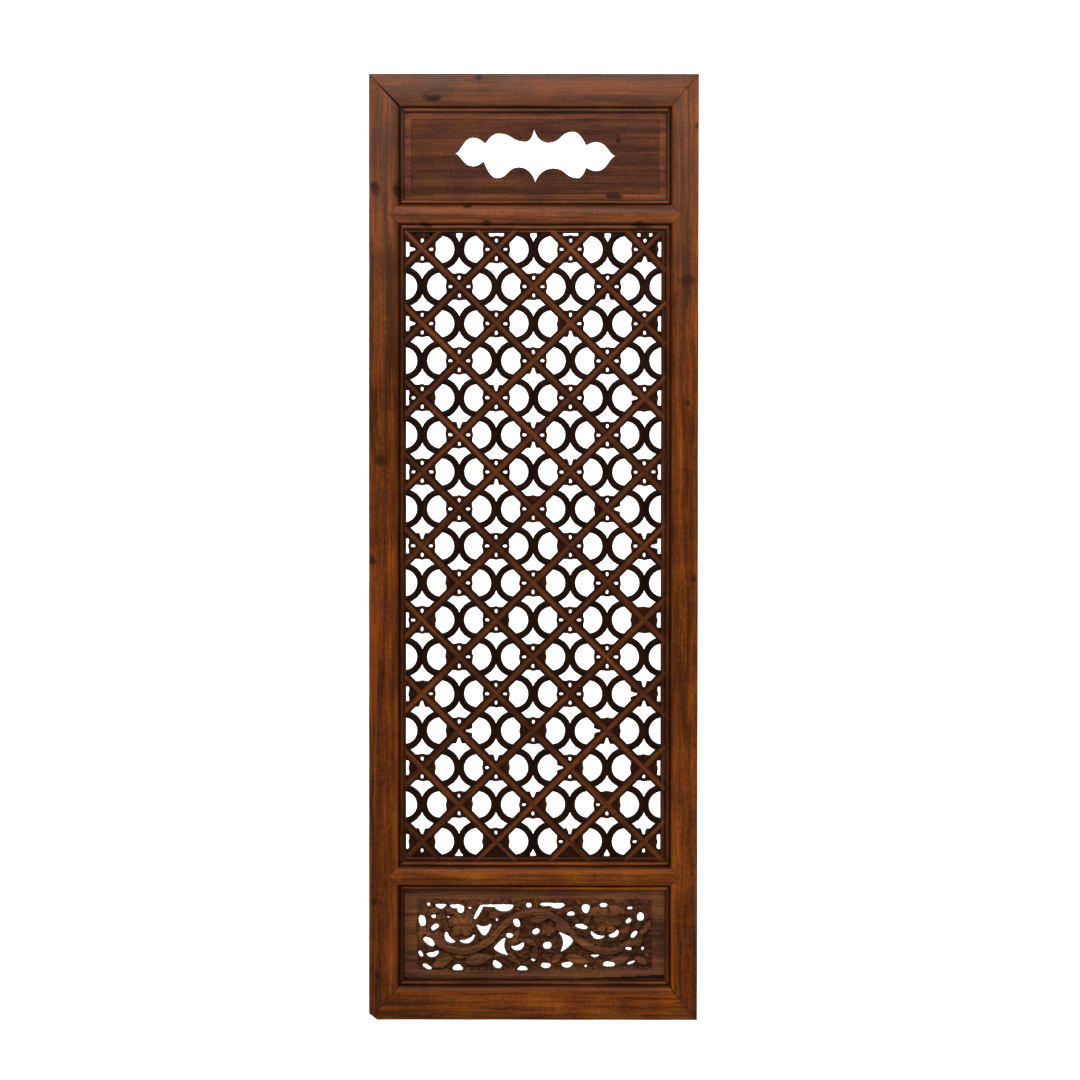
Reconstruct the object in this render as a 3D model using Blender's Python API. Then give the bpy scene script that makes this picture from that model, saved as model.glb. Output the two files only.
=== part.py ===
"""Carved lattice door panel: a mitred wooden frame with a pierced frieze board,
a tall diagonal lattice and a pierced, carved lower board.

Metres, +Z up, front towards -Y. The origin is the middle of the top rail's back face.
"""

import math

import bmesh
import bpy
from mathutils import Matrix, Vector

# Clearance between pieces that touch
FIT_GAP = 0.0003

# Frame members: depth from back to face, and widths across the face
FRAME_DEPTH = 0.038
STILE_LEFT_WIDTH = 0.049
STILE_RIGHT_WIDTH = 0.045
RAIL_TOP_HEIGHT = 0.0525
RAIL_MIDDLE_HEIGHT = 0.041
RAIL_BOTTOM_HEIGHT = 0.0545
ARRIS = 0.0012

# Moulding round every opening: a bead at the edge, then a field that swells up to the face
BEAD_WIDTH = 0.0065
BEAD_RISE = 0.0025
EDGE_FALL = 0.0085
FIELD_FALL = 0.0055
MOULDING_STEPS = 3

# Diagonal lattice: cells counted across and down, and the sizes inside one cell
LATTICE_COLUMNS = 7
LATTICE_ROWS = 17
LATTICE_PITCH = 0.0519
BAR_WIDTH = 0.0126
ARC_INNER_RADIUS = 0.0193
ARC_OUTER_RADIUS = 0.0280
WEB_REACH = 0.0180
ARC_POINTS = 5
LATTICE_THICKNESS = 0.013
LATTICE_FRONT = 0.0265

# Rim of the lattice: how far it overlaps the outer cells, and how much of it shows per side
RIM_OVERLAP = 0.0024
RIM_LEFT = 0.0014
RIM_RIGHT = 0.0058
RIM_TOP = 0.0040
RIM_BOTTOM = 0.0032

# Webs that have broken away: crossing (column, row) and the sides that are open
BROKEN_WEBS = {
    (6, 0): "S", (5, 1): "S", (0, 2): "W", (4, 2): "S", (2, 4): "N", (6, 4): "W",
    (1, 5): "N", (5, 7): "E", (6, 8): "N", (0, 12): "S", (6, 12): "N", (1, 13): "E",
    (5, 13): "W", (4, 14): "W", (0, 16): "N", (6, 16): "N",
}

# Frieze board and its pierced cartouche
FRIEZE_HEIGHT = 0.1219
FRIEZE_THICKNESS = 0.010
FRIEZE_FRONT = 0.0245
CARTOUCHE_LENGTH = 0.226
CARTOUCHE_HEIGHT = 0.074
CARTOUCHE_RAISED = 0.0012
CURVE_STEPS = 4

# Lower board: plate, pierced field inside its margins, and raised scrolling vine
CARVED_HEIGHT = 0.1263
CARVED_THICKNESS = 0.012
CARVED_FRONT = 0.0235
FIELD_SIDE_MARGIN = 0.02135
FIELD_END_MARGIN = 0.01515
FIELD_SHIFT = -0.003
FIELD_LIFT = -0.0007
VINE_RADIUS = 0.0052
VINE_SWING = 0.031
VINE_LIFT = 0.0089
VINE_WAVES = 1.6
VINE_STEP = 0.015
RELIEF_HEIGHT = 0.0045
FLOWER_RADIUS = 0.021
FLOWER_LEVEL = 0.74
FRUIT_RADIUS = 0.0135
FRUIT_LEVEL = 0.45
PETALS = 6
PETAL_NOTCH = 0.72
LEAF_LENGTH = 0.026
LEAF_WIDTH = 0.011

# Chip missing from the lower left corner: along the bottom and up the side
CHIP_ALONG = 0.012
CHIP_UP = 0.009

# Sizes worked out from the ones above
MOULDING_WIDTH = RAIL_MIDDLE_HEIGHT / 2
OPENING_WIDTH = LATTICE_COLUMNS * LATTICE_PITCH - 2 * RIM_OVERLAP + RIM_LEFT + RIM_RIGHT
LATTICE_HEIGHT = LATTICE_ROWS * LATTICE_PITCH - 2 * RIM_OVERLAP + RIM_TOP + RIM_BOTTOM
WIDTH = STILE_LEFT_WIDTH + OPENING_WIDTH + STILE_RIGHT_WIDTH
SIDE_LEFT = -WIDTH / 2
SIDE_RIGHT = WIDTH / 2
OPENING_LEFT = SIDE_LEFT + STILE_LEFT_WIDTH
OPENING_RIGHT = SIDE_RIGHT - STILE_RIGHT_WIDTH
OPENING_MIDDLE = (OPENING_LEFT + OPENING_RIGHT) / 2
TOP = RAIL_TOP_HEIGHT / 2
FRIEZE_TOP = TOP - RAIL_TOP_HEIGHT
FRIEZE_BOTTOM = FRIEZE_TOP - FRIEZE_HEIGHT
LATTICE_TOP = FRIEZE_BOTTOM - RAIL_MIDDLE_HEIGHT
LATTICE_BOTTOM = LATTICE_TOP - LATTICE_HEIGHT
CARVED_TOP = LATTICE_BOTTOM - RAIL_MIDDLE_HEIGHT
CARVED_BOTTOM = CARVED_TOP - CARVED_HEIGHT
FIELD_WIDTH = OPENING_WIDTH - 2 * FIELD_SIDE_MARGIN
FIELD_HEIGHT = CARVED_HEIGHT - 2 * FIELD_END_MARGIN
VINE_LENGTH = FIELD_WIDTH / VINE_WAVES
BOTTOM = CARVED_BOTTOM - RAIL_BOTTOM_HEIGHT

BACKWARD = Vector((0, 1, 0))
LEFT = Vector((-1, 0, 0))
RIGHT = Vector((1, 0, 0))
UP = Vector((0, 0, 1))
DOWN = Vector((0, 0, -1))

# Wood tones: colour and roughness of each piece
WOOD_TONES = {
    "stile_left": ((0.125, 0.035, 0.013), 0.48),
    "stile_right": ((0.130, 0.032, 0.009), 0.48),
    "rail_top": ((0.170, 0.066, 0.033), 0.50),
    "rail_frieze": ((0.160, 0.058, 0.027), 0.50),
    "rail_lower": ((0.155, 0.050, 0.020), 0.48),
    "rail_bottom": ((0.130, 0.040, 0.015), 0.46),
    "frieze_board": ((0.105, 0.036, 0.017), 0.55),
    "lattice": ((0.080, 0.024, 0.012), 0.60),
    "carved_board": ((0.090, 0.030, 0.014), 0.58),
}


def clear_scene():
    for item in list(bpy.data.objects):
        bpy.data.objects.remove(item, do_unlink=True)


def new_collection(name):
    collection = bpy.data.collections.new(name)
    bpy.context.scene.collection.children.link(collection)
    return collection


def give_wood(piece):
    colour, roughness = WOOD_TONES[piece.name]
    material = bpy.data.materials.new(piece.name + "_wood")
    material.use_nodes = True
    shader = material.node_tree.nodes["Principled BSDF"]
    shader.inputs["Base Color"].default_value = (*colour, 1)
    shader.inputs["Roughness"].default_value = roughness
    shader.inputs["Metallic"].default_value = 0
    material.diffuse_color = (*colour, 1)
    piece.data.materials.clear()
    piece.data.materials.append(material)


def closed_mesh(source, name):
    """Turn a curve object into a welded mesh of that name and remove the curve."""
    graph = bpy.context.evaluated_depsgraph_get()
    mesh = bpy.data.meshes.new_from_object(source.evaluated_get(graph))
    mesh.name = name
    shape = bmesh.new()
    shape.from_mesh(mesh)
    bmesh.ops.remove_doubles(shape, verts=shape.verts, dist=0.00001)
    bmesh.ops.recalc_face_normals(shape, faces=shape.faces)
    shape.to_mesh(mesh)
    shape.free()
    bpy.data.objects.remove(source, do_unlink=True)
    return mesh


def extruded(name, outlines, thickness, matrix, collection):
    """A flat outline with holes, extruded to both sides of its plane and placed."""
    curve = bpy.data.curves.new(name, "CURVE")
    curve.dimensions = "2D"
    curve.fill_mode = "BOTH"
    curve.extrude = thickness / 2
    for outline in outlines:
        spline = curve.splines.new("POLY")
        spline.points.add(len(outline) - 1)
        for point, (across, along) in zip(spline.points, outline):
            point.co = (across, along, 0, 1)
        spline.use_cyclic_u = True
    source = bpy.data.objects.new(name + "_outline", curve)
    bpy.context.scene.collection.objects.link(source)
    piece = bpy.data.objects.new(name, closed_mesh(source, name))
    collection.objects.link(piece)
    piece.matrix_world = matrix
    return piece


def facing_front(depth):
    """Places a flat outline upright, its middle plane at that depth in front of the back."""
    return Matrix.Translation((0, -depth, 0)) @ Matrix.Rotation(math.pi / 2, 4, "X")


def trim(piece, point, outward):
    """Cut away what lies past a plane in world space, and close the cut."""
    to_local = piece.matrix_world.inverted()
    shape = bmesh.new()
    shape.from_mesh(piece.data)
    cut = bmesh.ops.bisect_plane(
        shape,
        geom=shape.verts[:] + shape.edges[:] + shape.faces[:],
        dist=0.000001,
        plane_co=to_local @ point,
        plane_no=to_local.to_3x3() @ outward,
        clear_outer=True,
    )
    rim = [item for item in cut["geom_cut"] if isinstance(item, bmesh.types.BMEdge)]
    bmesh.ops.contextual_create(shape, geom=rim)
    bmesh.ops.recalc_face_normals(shape, faces=shape.faces)
    shape.to_mesh(piece.data)
    shape.free()


def combine(piece, tool, operation):
    """Join a tool to a piece or cut it away, and keep the tool out of sight."""
    tool.hide_render = True
    tool.display_type = "WIRE"
    boolean = piece.modifiers.new(tool.name, "BOOLEAN")
    boolean.operation = operation
    boolean.solver = "EXACT"
    boolean.object = tool


def moulding():
    """Points from an opening's edge outwards: distance from the edge, and depth."""
    edge_depth = FRAME_DEPTH - EDGE_FALL
    points = [(0, edge_depth)]
    for step in range(1, MOULDING_STEPS + 1):
        angle = math.pi * step / (MOULDING_STEPS + 1)
        across = BEAD_WIDTH * (1 - math.cos(angle)) / 2
        points.append((across, edge_depth + BEAD_RISE * math.sin(angle)))
    points.append((BEAD_WIDTH, edge_depth))
    field_width = MOULDING_WIDTH - BEAD_WIDTH
    for step in range(MOULDING_STEPS + 1):
        angle = math.pi / 2 * step / MOULDING_STEPS
        across = BEAD_WIDTH + field_width * (1 - math.cos(angle))
        points.append((across, FRAME_DEPTH - FIELD_FALL * (1 - math.sin(angle))))
    return points


def outer_profile(width):
    """Section of a stile or end rail, from its outer edge to the opening."""
    inner = [(width - across, depth) for across, depth in reversed(moulding())]
    return [(0, 0), (0, FRAME_DEPTH - ARRIS), (ARRIS, FRAME_DEPTH)] + inner + [(width, 0)]


def middle_profile():
    """Section of a middle rail, moulded on both edges."""
    upper = moulding()
    lower = [(RAIL_MIDDLE_HEIGHT - across, depth) for across, depth in reversed(upper[:-1])]
    return [(0, 0)] + upper + lower + [(RAIL_MIDDLE_HEIGHT, 0)]


def member(name, profile, across, start, length, collection):
    """A moulded bar: its profile runs from start in the direction across, face to the front."""
    depth = -BACKWARD
    along = across.cross(depth)
    turn = Matrix((across, depth, along)).transposed().to_4x4()
    return extruded(name, [profile], length, Matrix.Translation(start) @ turn, collection)


def mitre(rail, stile, outer, inner, stile_side):
    """Part a rail and a stile along the plane through their outer and inner corners."""
    normal = BACKWARD.cross(inner - outer).normalized()
    if normal.dot(stile_side) < 0:
        normal.negate()
    trim(rail, outer - normal * FIT_GAP / 2, normal)
    trim(stile, outer + normal * FIT_GAP / 2, -normal)


def chip_corner(pieces, corner):
    """Cut the lost corner off the pieces that meet there."""
    outward = Vector((-CHIP_UP, 0, -CHIP_ALONG)).normalized()
    for piece in pieces:
        trim(piece, corner + RIGHT * CHIP_ALONG, outward)


def point_rail(rail, middle_z):
    """Give a middle rail its pointed shoulders, mitred into both stiles."""
    for side, edge in ((LEFT, OPENING_LEFT), (RIGHT, OPENING_RIGHT)):
        tip = Vector((edge, 0, middle_z)) + side * MOULDING_WIDTH
        for slope in (UP, DOWN):
            trim(rail, tip, (side + slope).normalized())


def notch_stile(stile, edge, middle_z, cutters):
    """Cut the notch for a rail's pointed shoulder, a little larger than the shoulder."""
    half_diagonal = MOULDING_WIDTH + FIT_GAP * math.sqrt(2)
    side = half_diagonal * math.sqrt(2)
    name = "%s_notch_%d" % (stile.name, len(stile.modifiers) + 1)
    shape = bmesh.new()
    bmesh.ops.create_cube(shape, size=1)
    bmesh.ops.scale(shape, vec=(side, FRAME_DEPTH * 3, side), verts=shape.verts)
    mesh = bpy.data.meshes.new(name)
    shape.to_mesh(mesh)
    shape.free()
    cutter = bpy.data.objects.new(name, mesh)
    cutter.matrix_world = Matrix.Translation((edge, 0, middle_z)) @ Matrix.Rotation(math.pi / 4, 4, "Y")
    cutters.objects.link(cutter)
    combine(stile, cutter, "DIFFERENCE")


def build_frame(collection, cutters):
    length = TOP - BOTTOM
    middle_z = (TOP + BOTTOM) / 2
    stile_left = member("stile_left", outer_profile(STILE_LEFT_WIDTH), RIGHT,
                        Vector((SIDE_LEFT, 0, middle_z)), length, collection)
    stile_right = member("stile_right", outer_profile(STILE_RIGHT_WIDTH), LEFT,
                         Vector((SIDE_RIGHT, 0, middle_z)), length, collection)
    rail_top = member("rail_top", outer_profile(RAIL_TOP_HEIGHT), DOWN,
                      Vector((0, 0, TOP)), WIDTH, collection)
    rail_bottom = member("rail_bottom", outer_profile(RAIL_BOTTOM_HEIGHT), UP,
                         Vector((0, 0, BOTTOM)), WIDTH, collection)
    sides = ((stile_left, SIDE_LEFT, OPENING_LEFT), (stile_right, SIDE_RIGHT, OPENING_RIGHT))
    for stile, side, opening in sides:
        mitre(rail_top, stile, Vector((side, 0, TOP)), Vector((opening, 0, FRIEZE_TOP)), DOWN)
        mitre(rail_bottom, stile, Vector((side, 0, BOTTOM)), Vector((opening, 0, CARVED_BOTTOM)), UP)
    chip_corner((stile_left, rail_bottom), Vector((SIDE_LEFT, 0, BOTTOM)))
    for name, rail_z in (("rail_frieze", FRIEZE_BOTTOM), ("rail_lower", LATTICE_BOTTOM)):
        rail = member(name, middle_profile(), DOWN, Vector((0, 0, rail_z)), WIDTH, collection)
        rail_middle = rail_z - RAIL_MIDDLE_HEIGHT / 2
        point_rail(rail, rail_middle)
        notch_stile(stile_left, OPENING_LEFT, rail_middle, cutters)
        notch_stile(stile_right, OPENING_RIGHT, rail_middle, cutters)


def board_outline(top, bottom):
    """A board's rectangle, with its clearance to the stiles and rails."""
    left = OPENING_LEFT + FIT_GAP
    right = OPENING_RIGHT - FIT_GAP
    return [(left, bottom + FIT_GAP), (right, bottom + FIT_GAP),
            (right, top - FIT_GAP), (left, top - FIT_GAP)]


def bezier(start, start_handle, end_handle, end, steps):
    """Points of one cubic curve, without its end point."""
    points = []
    for step in range(steps):
        t = step / steps
        weights = ((1 - t) ** 3, 3 * t * (1 - t) ** 2, 3 * t * t * (1 - t), t ** 3)
        corners = (start, start_handle, end_handle, end)
        points.append(tuple(sum(w * c[axis] for w, c in zip(weights, corners)) for axis in (0, 1)))
    return points


def cartouche():
    """The pierced cartouche, cut by hand and so a little uneven from side to side.

    Each stop is a share of the half length and half height, and says how it is passed:
    a crown or a dip level, a tip drawn out to a point, and a notch as a sharp corner.
    """
    stops = [
        (-1.00, 0.08, "tip"), (-0.77, 0.69, "level"), (-0.62, 0.46, "notch"),
        (-0.46, 0.85, "level"), (-0.12, 0.54, "level"), (-0.015, 1.00, "peak"),
        (0.16, 0.50, "level"), (0.47, 0.92, "level"), (0.63, 0.40, "notch"),
        (0.76, 0.53, "level"), (1.00, 0.00, "tip"), (0.76, -0.58, "level"),
        (0.63, -0.45, "notch"), (0.53, -0.85, "level"), (0.22, -0.48, "level"),
        (0.00, -1.00, "peak"), (-0.20, -0.44, "level"), (-0.48, -0.85, "level"),
        (-0.64, -0.22, "notch"), (-0.77, -0.41, "level"),
    ]
    middle_z = (FRIEZE_TOP + FRIEZE_BOTTOM) / 2 + CARTOUCHE_RAISED
    draw = {"level": (0.55, 0.0), "tip": (0.35, 0.02), "peak": (0.10, 0.45), "notch": (0.05, 0.05)}
    points = []
    for index, (x0, z0, kind0) in enumerate(stops):
        x1, z1, kind1 = stops[(index + 1) % len(stops)]
        reach_x, reach_z = x1 - x0, z1 - z0
        first = (x0 + reach_x * draw[kind0][0], z0 + reach_z * draw[kind0][1])
        second = (x1 - reach_x * draw[kind1][0], z1 - reach_z * draw[kind1][1])
        points += bezier((x0, z0), first, second, (x1, z1), CURVE_STEPS)
    half_length, half_height = CARTOUCHE_LENGTH / 2, CARTOUCHE_HEIGHT / 2
    return [(OPENING_MIDDLE + x * half_length, middle_z + z * half_height) for x, z in points]


def build_frieze(collection):
    outlines = [board_outline(FRIEZE_TOP, FRIEZE_BOTTOM), cartouche()]
    place = facing_front(FRIEZE_FRONT - FRIEZE_THICKNESS / 2)
    extruded("frieze_board", outlines, FRIEZE_THICKNESS, place, collection)


def circle_meets_bar(radius):
    """Where an arc about (pitch / 2, 0) meets the inner edge of the bar above it."""
    inner = LATTICE_PITCH - BAR_WIDTH / math.sqrt(2)
    offset = inner - LATTICE_PITCH / 2
    height = (offset + math.sqrt(2 * radius ** 2 - offset ** 2)) / 2
    return inner - height, height


def arc_points(radius, start, end, count):
    """Evenly spaced points on an arc about (pitch / 2, 0), angles in radians."""
    points = []
    for index in range(count):
        angle = start + (end - start) * index / (count - 1)
        points.append((LATTICE_PITCH / 2 + radius * math.cos(angle), radius * math.sin(angle)))
    return points


def corner_web(broken):
    """How the corner of a cell towards a crossing ends: on its web, or open up to the bars."""
    inner = LATTICE_PITCH - BAR_WIDTH / math.sqrt(2)
    if broken:
        return [(inner, 0)]
    reach = LATTICE_PITCH - WEB_REACH
    return [(reach, reach - inner), (reach, inner - reach)]


def egg_opening(broken):
    """The round opening of a cell on the +X side, inside the arc."""
    meet_x, meet_z = circle_meets_bar(ARC_INNER_RADIUS)
    start = math.atan2(meet_z, meet_x - LATTICE_PITCH / 2)
    arc = arc_points(ARC_INNER_RADIUS, start, 2 * math.pi - start, ARC_POINTS)
    return arc + corner_web(broken)


def star_opening(broken):
    """The pointed opening of a cell on the +Z side, between its two arcs."""
    meet_x, meet_z = circle_meets_bar(ARC_OUTER_RADIUS)
    start = math.atan2(meet_z, meet_x - LATTICE_PITCH / 2)
    end = math.pi - math.acos(LATTICE_PITCH / 2 / ARC_OUTER_RADIUS)
    right = arc_points(ARC_OUTER_RADIUS, start, end, 3)
    left = [(-x, z) for x, z in reversed(right[:-1])]
    web = [(-z, x) for x, z in reversed(corner_web(broken))]
    return right + left + web


def clip(outline, axis, limit, keep_above):
    """The part of an outline on one side of a straight line across an axis."""
    sign = 1 if keep_above else -1
    kept = []
    for index, point in enumerate(outline):
        before = outline[index - 1]
        inside = (point[axis] - limit) * sign >= 0
        inside_before = (before[axis] - limit) * sign >= 0
        if inside != inside_before:
            share = (limit - before[axis]) / (point[axis] - before[axis])
            kept.append(tuple(before[k] + (point[k] - before[k]) * share for k in (0, 1)))
        if inside:
            kept.append(point)
    return kept


def outline_area(outline):
    area = 0
    for index, (x, z) in enumerate(outline):
        before_x, before_z = outline[index - 1]
        area += (before_x * z - x * before_z) / 2
    return abs(area)


def lattice_openings():
    """Every opening of the lattice, cell by cell, cut off at the rim."""
    left = OPENING_LEFT + RIM_LEFT
    right = OPENING_RIGHT - RIM_RIGHT
    top = LATTICE_TOP - RIM_TOP
    bottom = LATTICE_BOTTOM + RIM_BOTTOM
    first_x = left - RIM_OVERLAP + LATTICE_PITCH / 2
    first_z = top + RIM_OVERLAP - LATTICE_PITCH / 2
    smallest = BAR_WIDTH ** 2 / 4
    openings = []
    for row in range(-1, LATTICE_ROWS + 1):
        for column in range(-1, LATTICE_COLUMNS + 1):
            if (row + column) % 2 == 0:
                continue
            centre_x = first_x + column * LATTICE_PITCH
            centre_z = first_z - row * LATTICE_PITCH
            shapes = [
                egg_opening("W" in BROKEN_WEBS.get((column + 1, row), "")),
                [(-x, z) for x, z in egg_opening("E" in BROKEN_WEBS.get((column - 1, row), ""))],
                star_opening("S" in BROKEN_WEBS.get((column, row - 1), "")),
                [(x, -z) for x, z in star_opening("N" in BROKEN_WEBS.get((column, row + 1), ""))],
            ]
            for shape in shapes:
                outline = [(centre_x + x, centre_z + z) for x, z in shape]
                for axis, limit, keep_above in ((0, left, True), (0, right, False),
                                                (1, bottom, True), (1, top, False)):
                    outline = clip(outline, axis, limit, keep_above)
                if len(outline) > 2 and outline_area(outline) > smallest:
                    openings.append(outline)
    return openings


def build_lattice(collection, cutters):
    place = facing_front(LATTICE_FRONT - LATTICE_THICKNESS / 2)
    outline = board_outline(LATTICE_TOP, LATTICE_BOTTOM)
    lattice = extruded("lattice", [outline], LATTICE_THICKNESS, place, collection)
    openings = extruded("lattice_openings", lattice_openings(), LATTICE_THICKNESS * 3, place, cutters)
    combine(lattice, openings, "DIFFERENCE")


def carved_openings():
    """Piercings between the leaves: place, width and height as shares of the field."""
    places = [
        (0.050, 0.98, 0.025, 0.062), (0.104, 0.93, 0.040, 0.078), (0.178, 0.91, 0.056, 0.104),
        (0.345, 0.92, 0.146, 0.089), (0.587, 0.94, 0.102, 0.073), (0.668, 0.82, 0.034, 0.083),
        (0.732, 0.92, 0.033, 0.130), (0.808, 0.95, 0.034, 0.078), (0.968, 0.79, 0.034, 0.156),
        (0.918, 0.73, 0.025, 0.094), (0.023, 0.73, 0.033, 0.177), (0.077, 0.64, 0.034, 0.115),
        (0.292, 0.60, 0.053, 0.146), (0.434, 0.69, 0.033, 0.125), (0.518, 0.57, 0.034, 0.094),
        (0.398, 0.52, 0.029, 0.083), (0.357, 0.34, 0.056, 0.198), (0.438, 0.34, 0.053, 0.104),
        (0.565, 0.37, 0.034, 0.115), (0.648, 0.43, 0.053, 0.198), (0.712, 0.65, 0.056, 0.094),
        (0.781, 0.50, 0.059, 0.104), (0.854, 0.53, 0.045, 0.120), (0.944, 0.52, 0.033, 0.120),
        (0.918, 0.32, 0.034, 0.068), (0.142, 0.46, 0.043, 0.156), (0.224, 0.43, 0.062, 0.120),
        (0.052, 0.42, 0.053, 0.141), (0.070, 0.25, 0.053, 0.094), (0.045, 0.07, 0.040, 0.094),
        (0.176, 0.06, 0.040, 0.094), (0.348, 0.09, 0.037, 0.109), (0.459, 0.05, 0.040, 0.083),
        (0.558, 0.08, 0.040, 0.094), (0.652, 0.09, 0.050, 0.109), (0.835, 0.10, 0.050, 0.099),
    ]
    left, bottom = field_corner()
    outlines = []
    for share_x, share_z, share_width, share_height in places:
        middle_x = left + share_x * FIELD_WIDTH
        middle_z = bottom + share_z * FIELD_HEIGHT
        width = share_width * FIELD_WIDTH
        height = share_height * FIELD_HEIGHT
        outlines.append([
            (middle_x - width * 0.50, middle_z - height * 0.10),
            (middle_x - width * 0.10, middle_z - height * 0.50),
            (middle_x + width * 0.45, middle_z - height * 0.25),
            (middle_x + width * 0.40, middle_z + height * 0.35),
            (middle_x - width * 0.20, middle_z + height * 0.50),
        ])
    return outlines


def field_corner():
    """Lower left corner of the pierced field of the carved board."""
    middle_z = (CARVED_TOP + CARVED_BOTTOM) / 2 + FIELD_LIFT
    return OPENING_MIDDLE + FIELD_SHIFT - FIELD_WIDTH / 2, middle_z - FIELD_HEIGHT / 2


def vine_point(share):
    """Where the scrolling stem runs at a share of the field's width."""
    left, bottom = field_corner()
    x = left + share * FIELD_WIDTH
    phase = 2 * math.pi * (x - OPENING_MIDDLE) / VINE_LENGTH
    return x, bottom + FIELD_HEIGHT / 2 + VINE_LIFT + VINE_SWING * math.cos(phase)


def add_vine(collection):
    curve = bpy.data.curves.new("vine", "CURVE")
    curve.dimensions = "3D"
    curve.bevel_depth = VINE_RADIUS
    curve.bevel_resolution = 0
    curve.use_fill_caps = True
    spline = curve.splines.new("POLY")
    steps = max(2, round(FIELD_WIDTH / VINE_STEP))
    spline.points.add(steps)
    for index, point in enumerate(spline.points):
        x, z = vine_point(index / steps)
        point.co = (x, -CARVED_FRONT, z, 1)
    source = bpy.data.objects.new("vine_line", curve)
    bpy.context.scene.collection.objects.link(source)
    vine = bpy.data.objects.new("vine", closed_mesh(source, "vine"))
    collection.objects.link(vine)
    return vine


def add_boss(name, x, z, length, width, turn, sides, notched, collection):
    """A low raised form on the board: a flower when notched, a leaf when long and narrow."""
    shape = bmesh.new()
    bmesh.ops.create_cone(shape, cap_ends=True, segments=sides, radius1=1, radius2=0.45, depth=1)
    for vertex in shape.verts:
        corner = round(math.atan2(vertex.co.y, vertex.co.x) / (2 * math.pi) * sides)
        if notched and corner % 2:
            vertex.co.x *= PETAL_NOTCH
            vertex.co.y *= PETAL_NOTCH
    bmesh.ops.scale(shape, vec=(length / 2, width / 2, RELIEF_HEIGHT * 2), verts=shape.verts)
    mesh = bpy.data.meshes.new(name)
    shape.to_mesh(mesh)
    shape.free()
    boss = bpy.data.objects.new(name, mesh)
    place = Matrix.Translation((x, -CARVED_FRONT, z)) @ Matrix.Rotation(math.pi / 2, 4, "X")
    boss.matrix_world = place @ Matrix.Rotation(turn, 4, "Z")
    collection.objects.link(boss)
    return boss


def add_flowers(collection):
    """A flower in each trough of the stem and a fruit under its crest."""
    left, bottom = field_corner()
    trough = VINE_LENGTH / 2
    flower_z = bottom + FIELD_HEIGHT * FLOWER_LEVEL
    fruit_z = bottom + FIELD_HEIGHT * FRUIT_LEVEL
    size = FLOWER_RADIUS * 2
    return [
        add_boss("flower_left", OPENING_MIDDLE - trough, flower_z, size, size, 0,
                 PETALS * 2, True, collection),
        add_boss("flower_right", OPENING_MIDDLE + trough, flower_z, size, size, 0,
                 PETALS * 2, True, collection),
        add_boss("fruit", OPENING_MIDDLE, fruit_z, FRUIT_RADIUS * 2, FRUIT_RADIUS * 2, 0,
                 PETALS * 2, True, collection),
    ]


def add_leaves(collection):
    """Leaves that spring from the stem to alternate sides."""
    leaves = []
    shares = (0.06, 0.16, 0.33, 0.42, 0.58, 0.67, 0.84, 0.94)
    for index, share in enumerate(shares):
        x, z = vine_point(share)
        next_x, next_z = vine_point(share + 0.01)
        along = math.atan2(next_z - z, next_x - x)
        side = 1 if index % 2 else -1
        turn = along + side * math.radians(55)
        reach = LEAF_LENGTH / 2 + VINE_RADIUS / 2
        leaves.append(add_boss("leaf_%d" % (index + 1), x + reach * math.cos(turn),
                               z + reach * math.sin(turn), LEAF_LENGTH, LEAF_WIDTH, turn,
                               6, False, collection))
    return leaves


def build_carved_board(collection, cutters):
    """The plate, its raised carving, and the piercings cut through both."""
    outline = board_outline(CARVED_TOP, CARVED_BOTTOM)
    place = facing_front(CARVED_FRONT - CARVED_THICKNESS / 2)
    board = extruded("carved_board", [outline], CARVED_THICKNESS, place, collection)
    raised = [add_vine(cutters)] + add_flowers(cutters) + add_leaves(cutters)
    cut_depth = CARVED_THICKNESS * 4
    piercings = extruded("piercings", carved_openings(), cut_depth, facing_front(CARVED_FRONT), cutters)
    for form in raised:
        combine(board, form, "UNION")
    combine(board, piercings, "DIFFERENCE")


def main():
    clear_scene()
    pieces = new_collection("carved_lattice_door_panel")
    cutters = new_collection("cutters")
    build_frame(pieces, cutters)
    build_frieze(pieces)
    build_lattice(pieces, cutters)
    build_carved_board(pieces, cutters)
    for piece in pieces.objects:
        give_wood(piece)


main()
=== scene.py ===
"""Carved lattice door panel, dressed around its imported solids.

The frame is loaded first. Each operator then models one group of pieces where the frame
says, gives it its wood, and the last one sets the stage. Metres, +Z up, front towards -Y.
"""

import math
from contextlib import contextmanager

import bpy
from bpy.props import FloatProperty, FloatVectorProperty, IntProperty, PointerProperty
from mathutils import Matrix, Vector, noise


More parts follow.
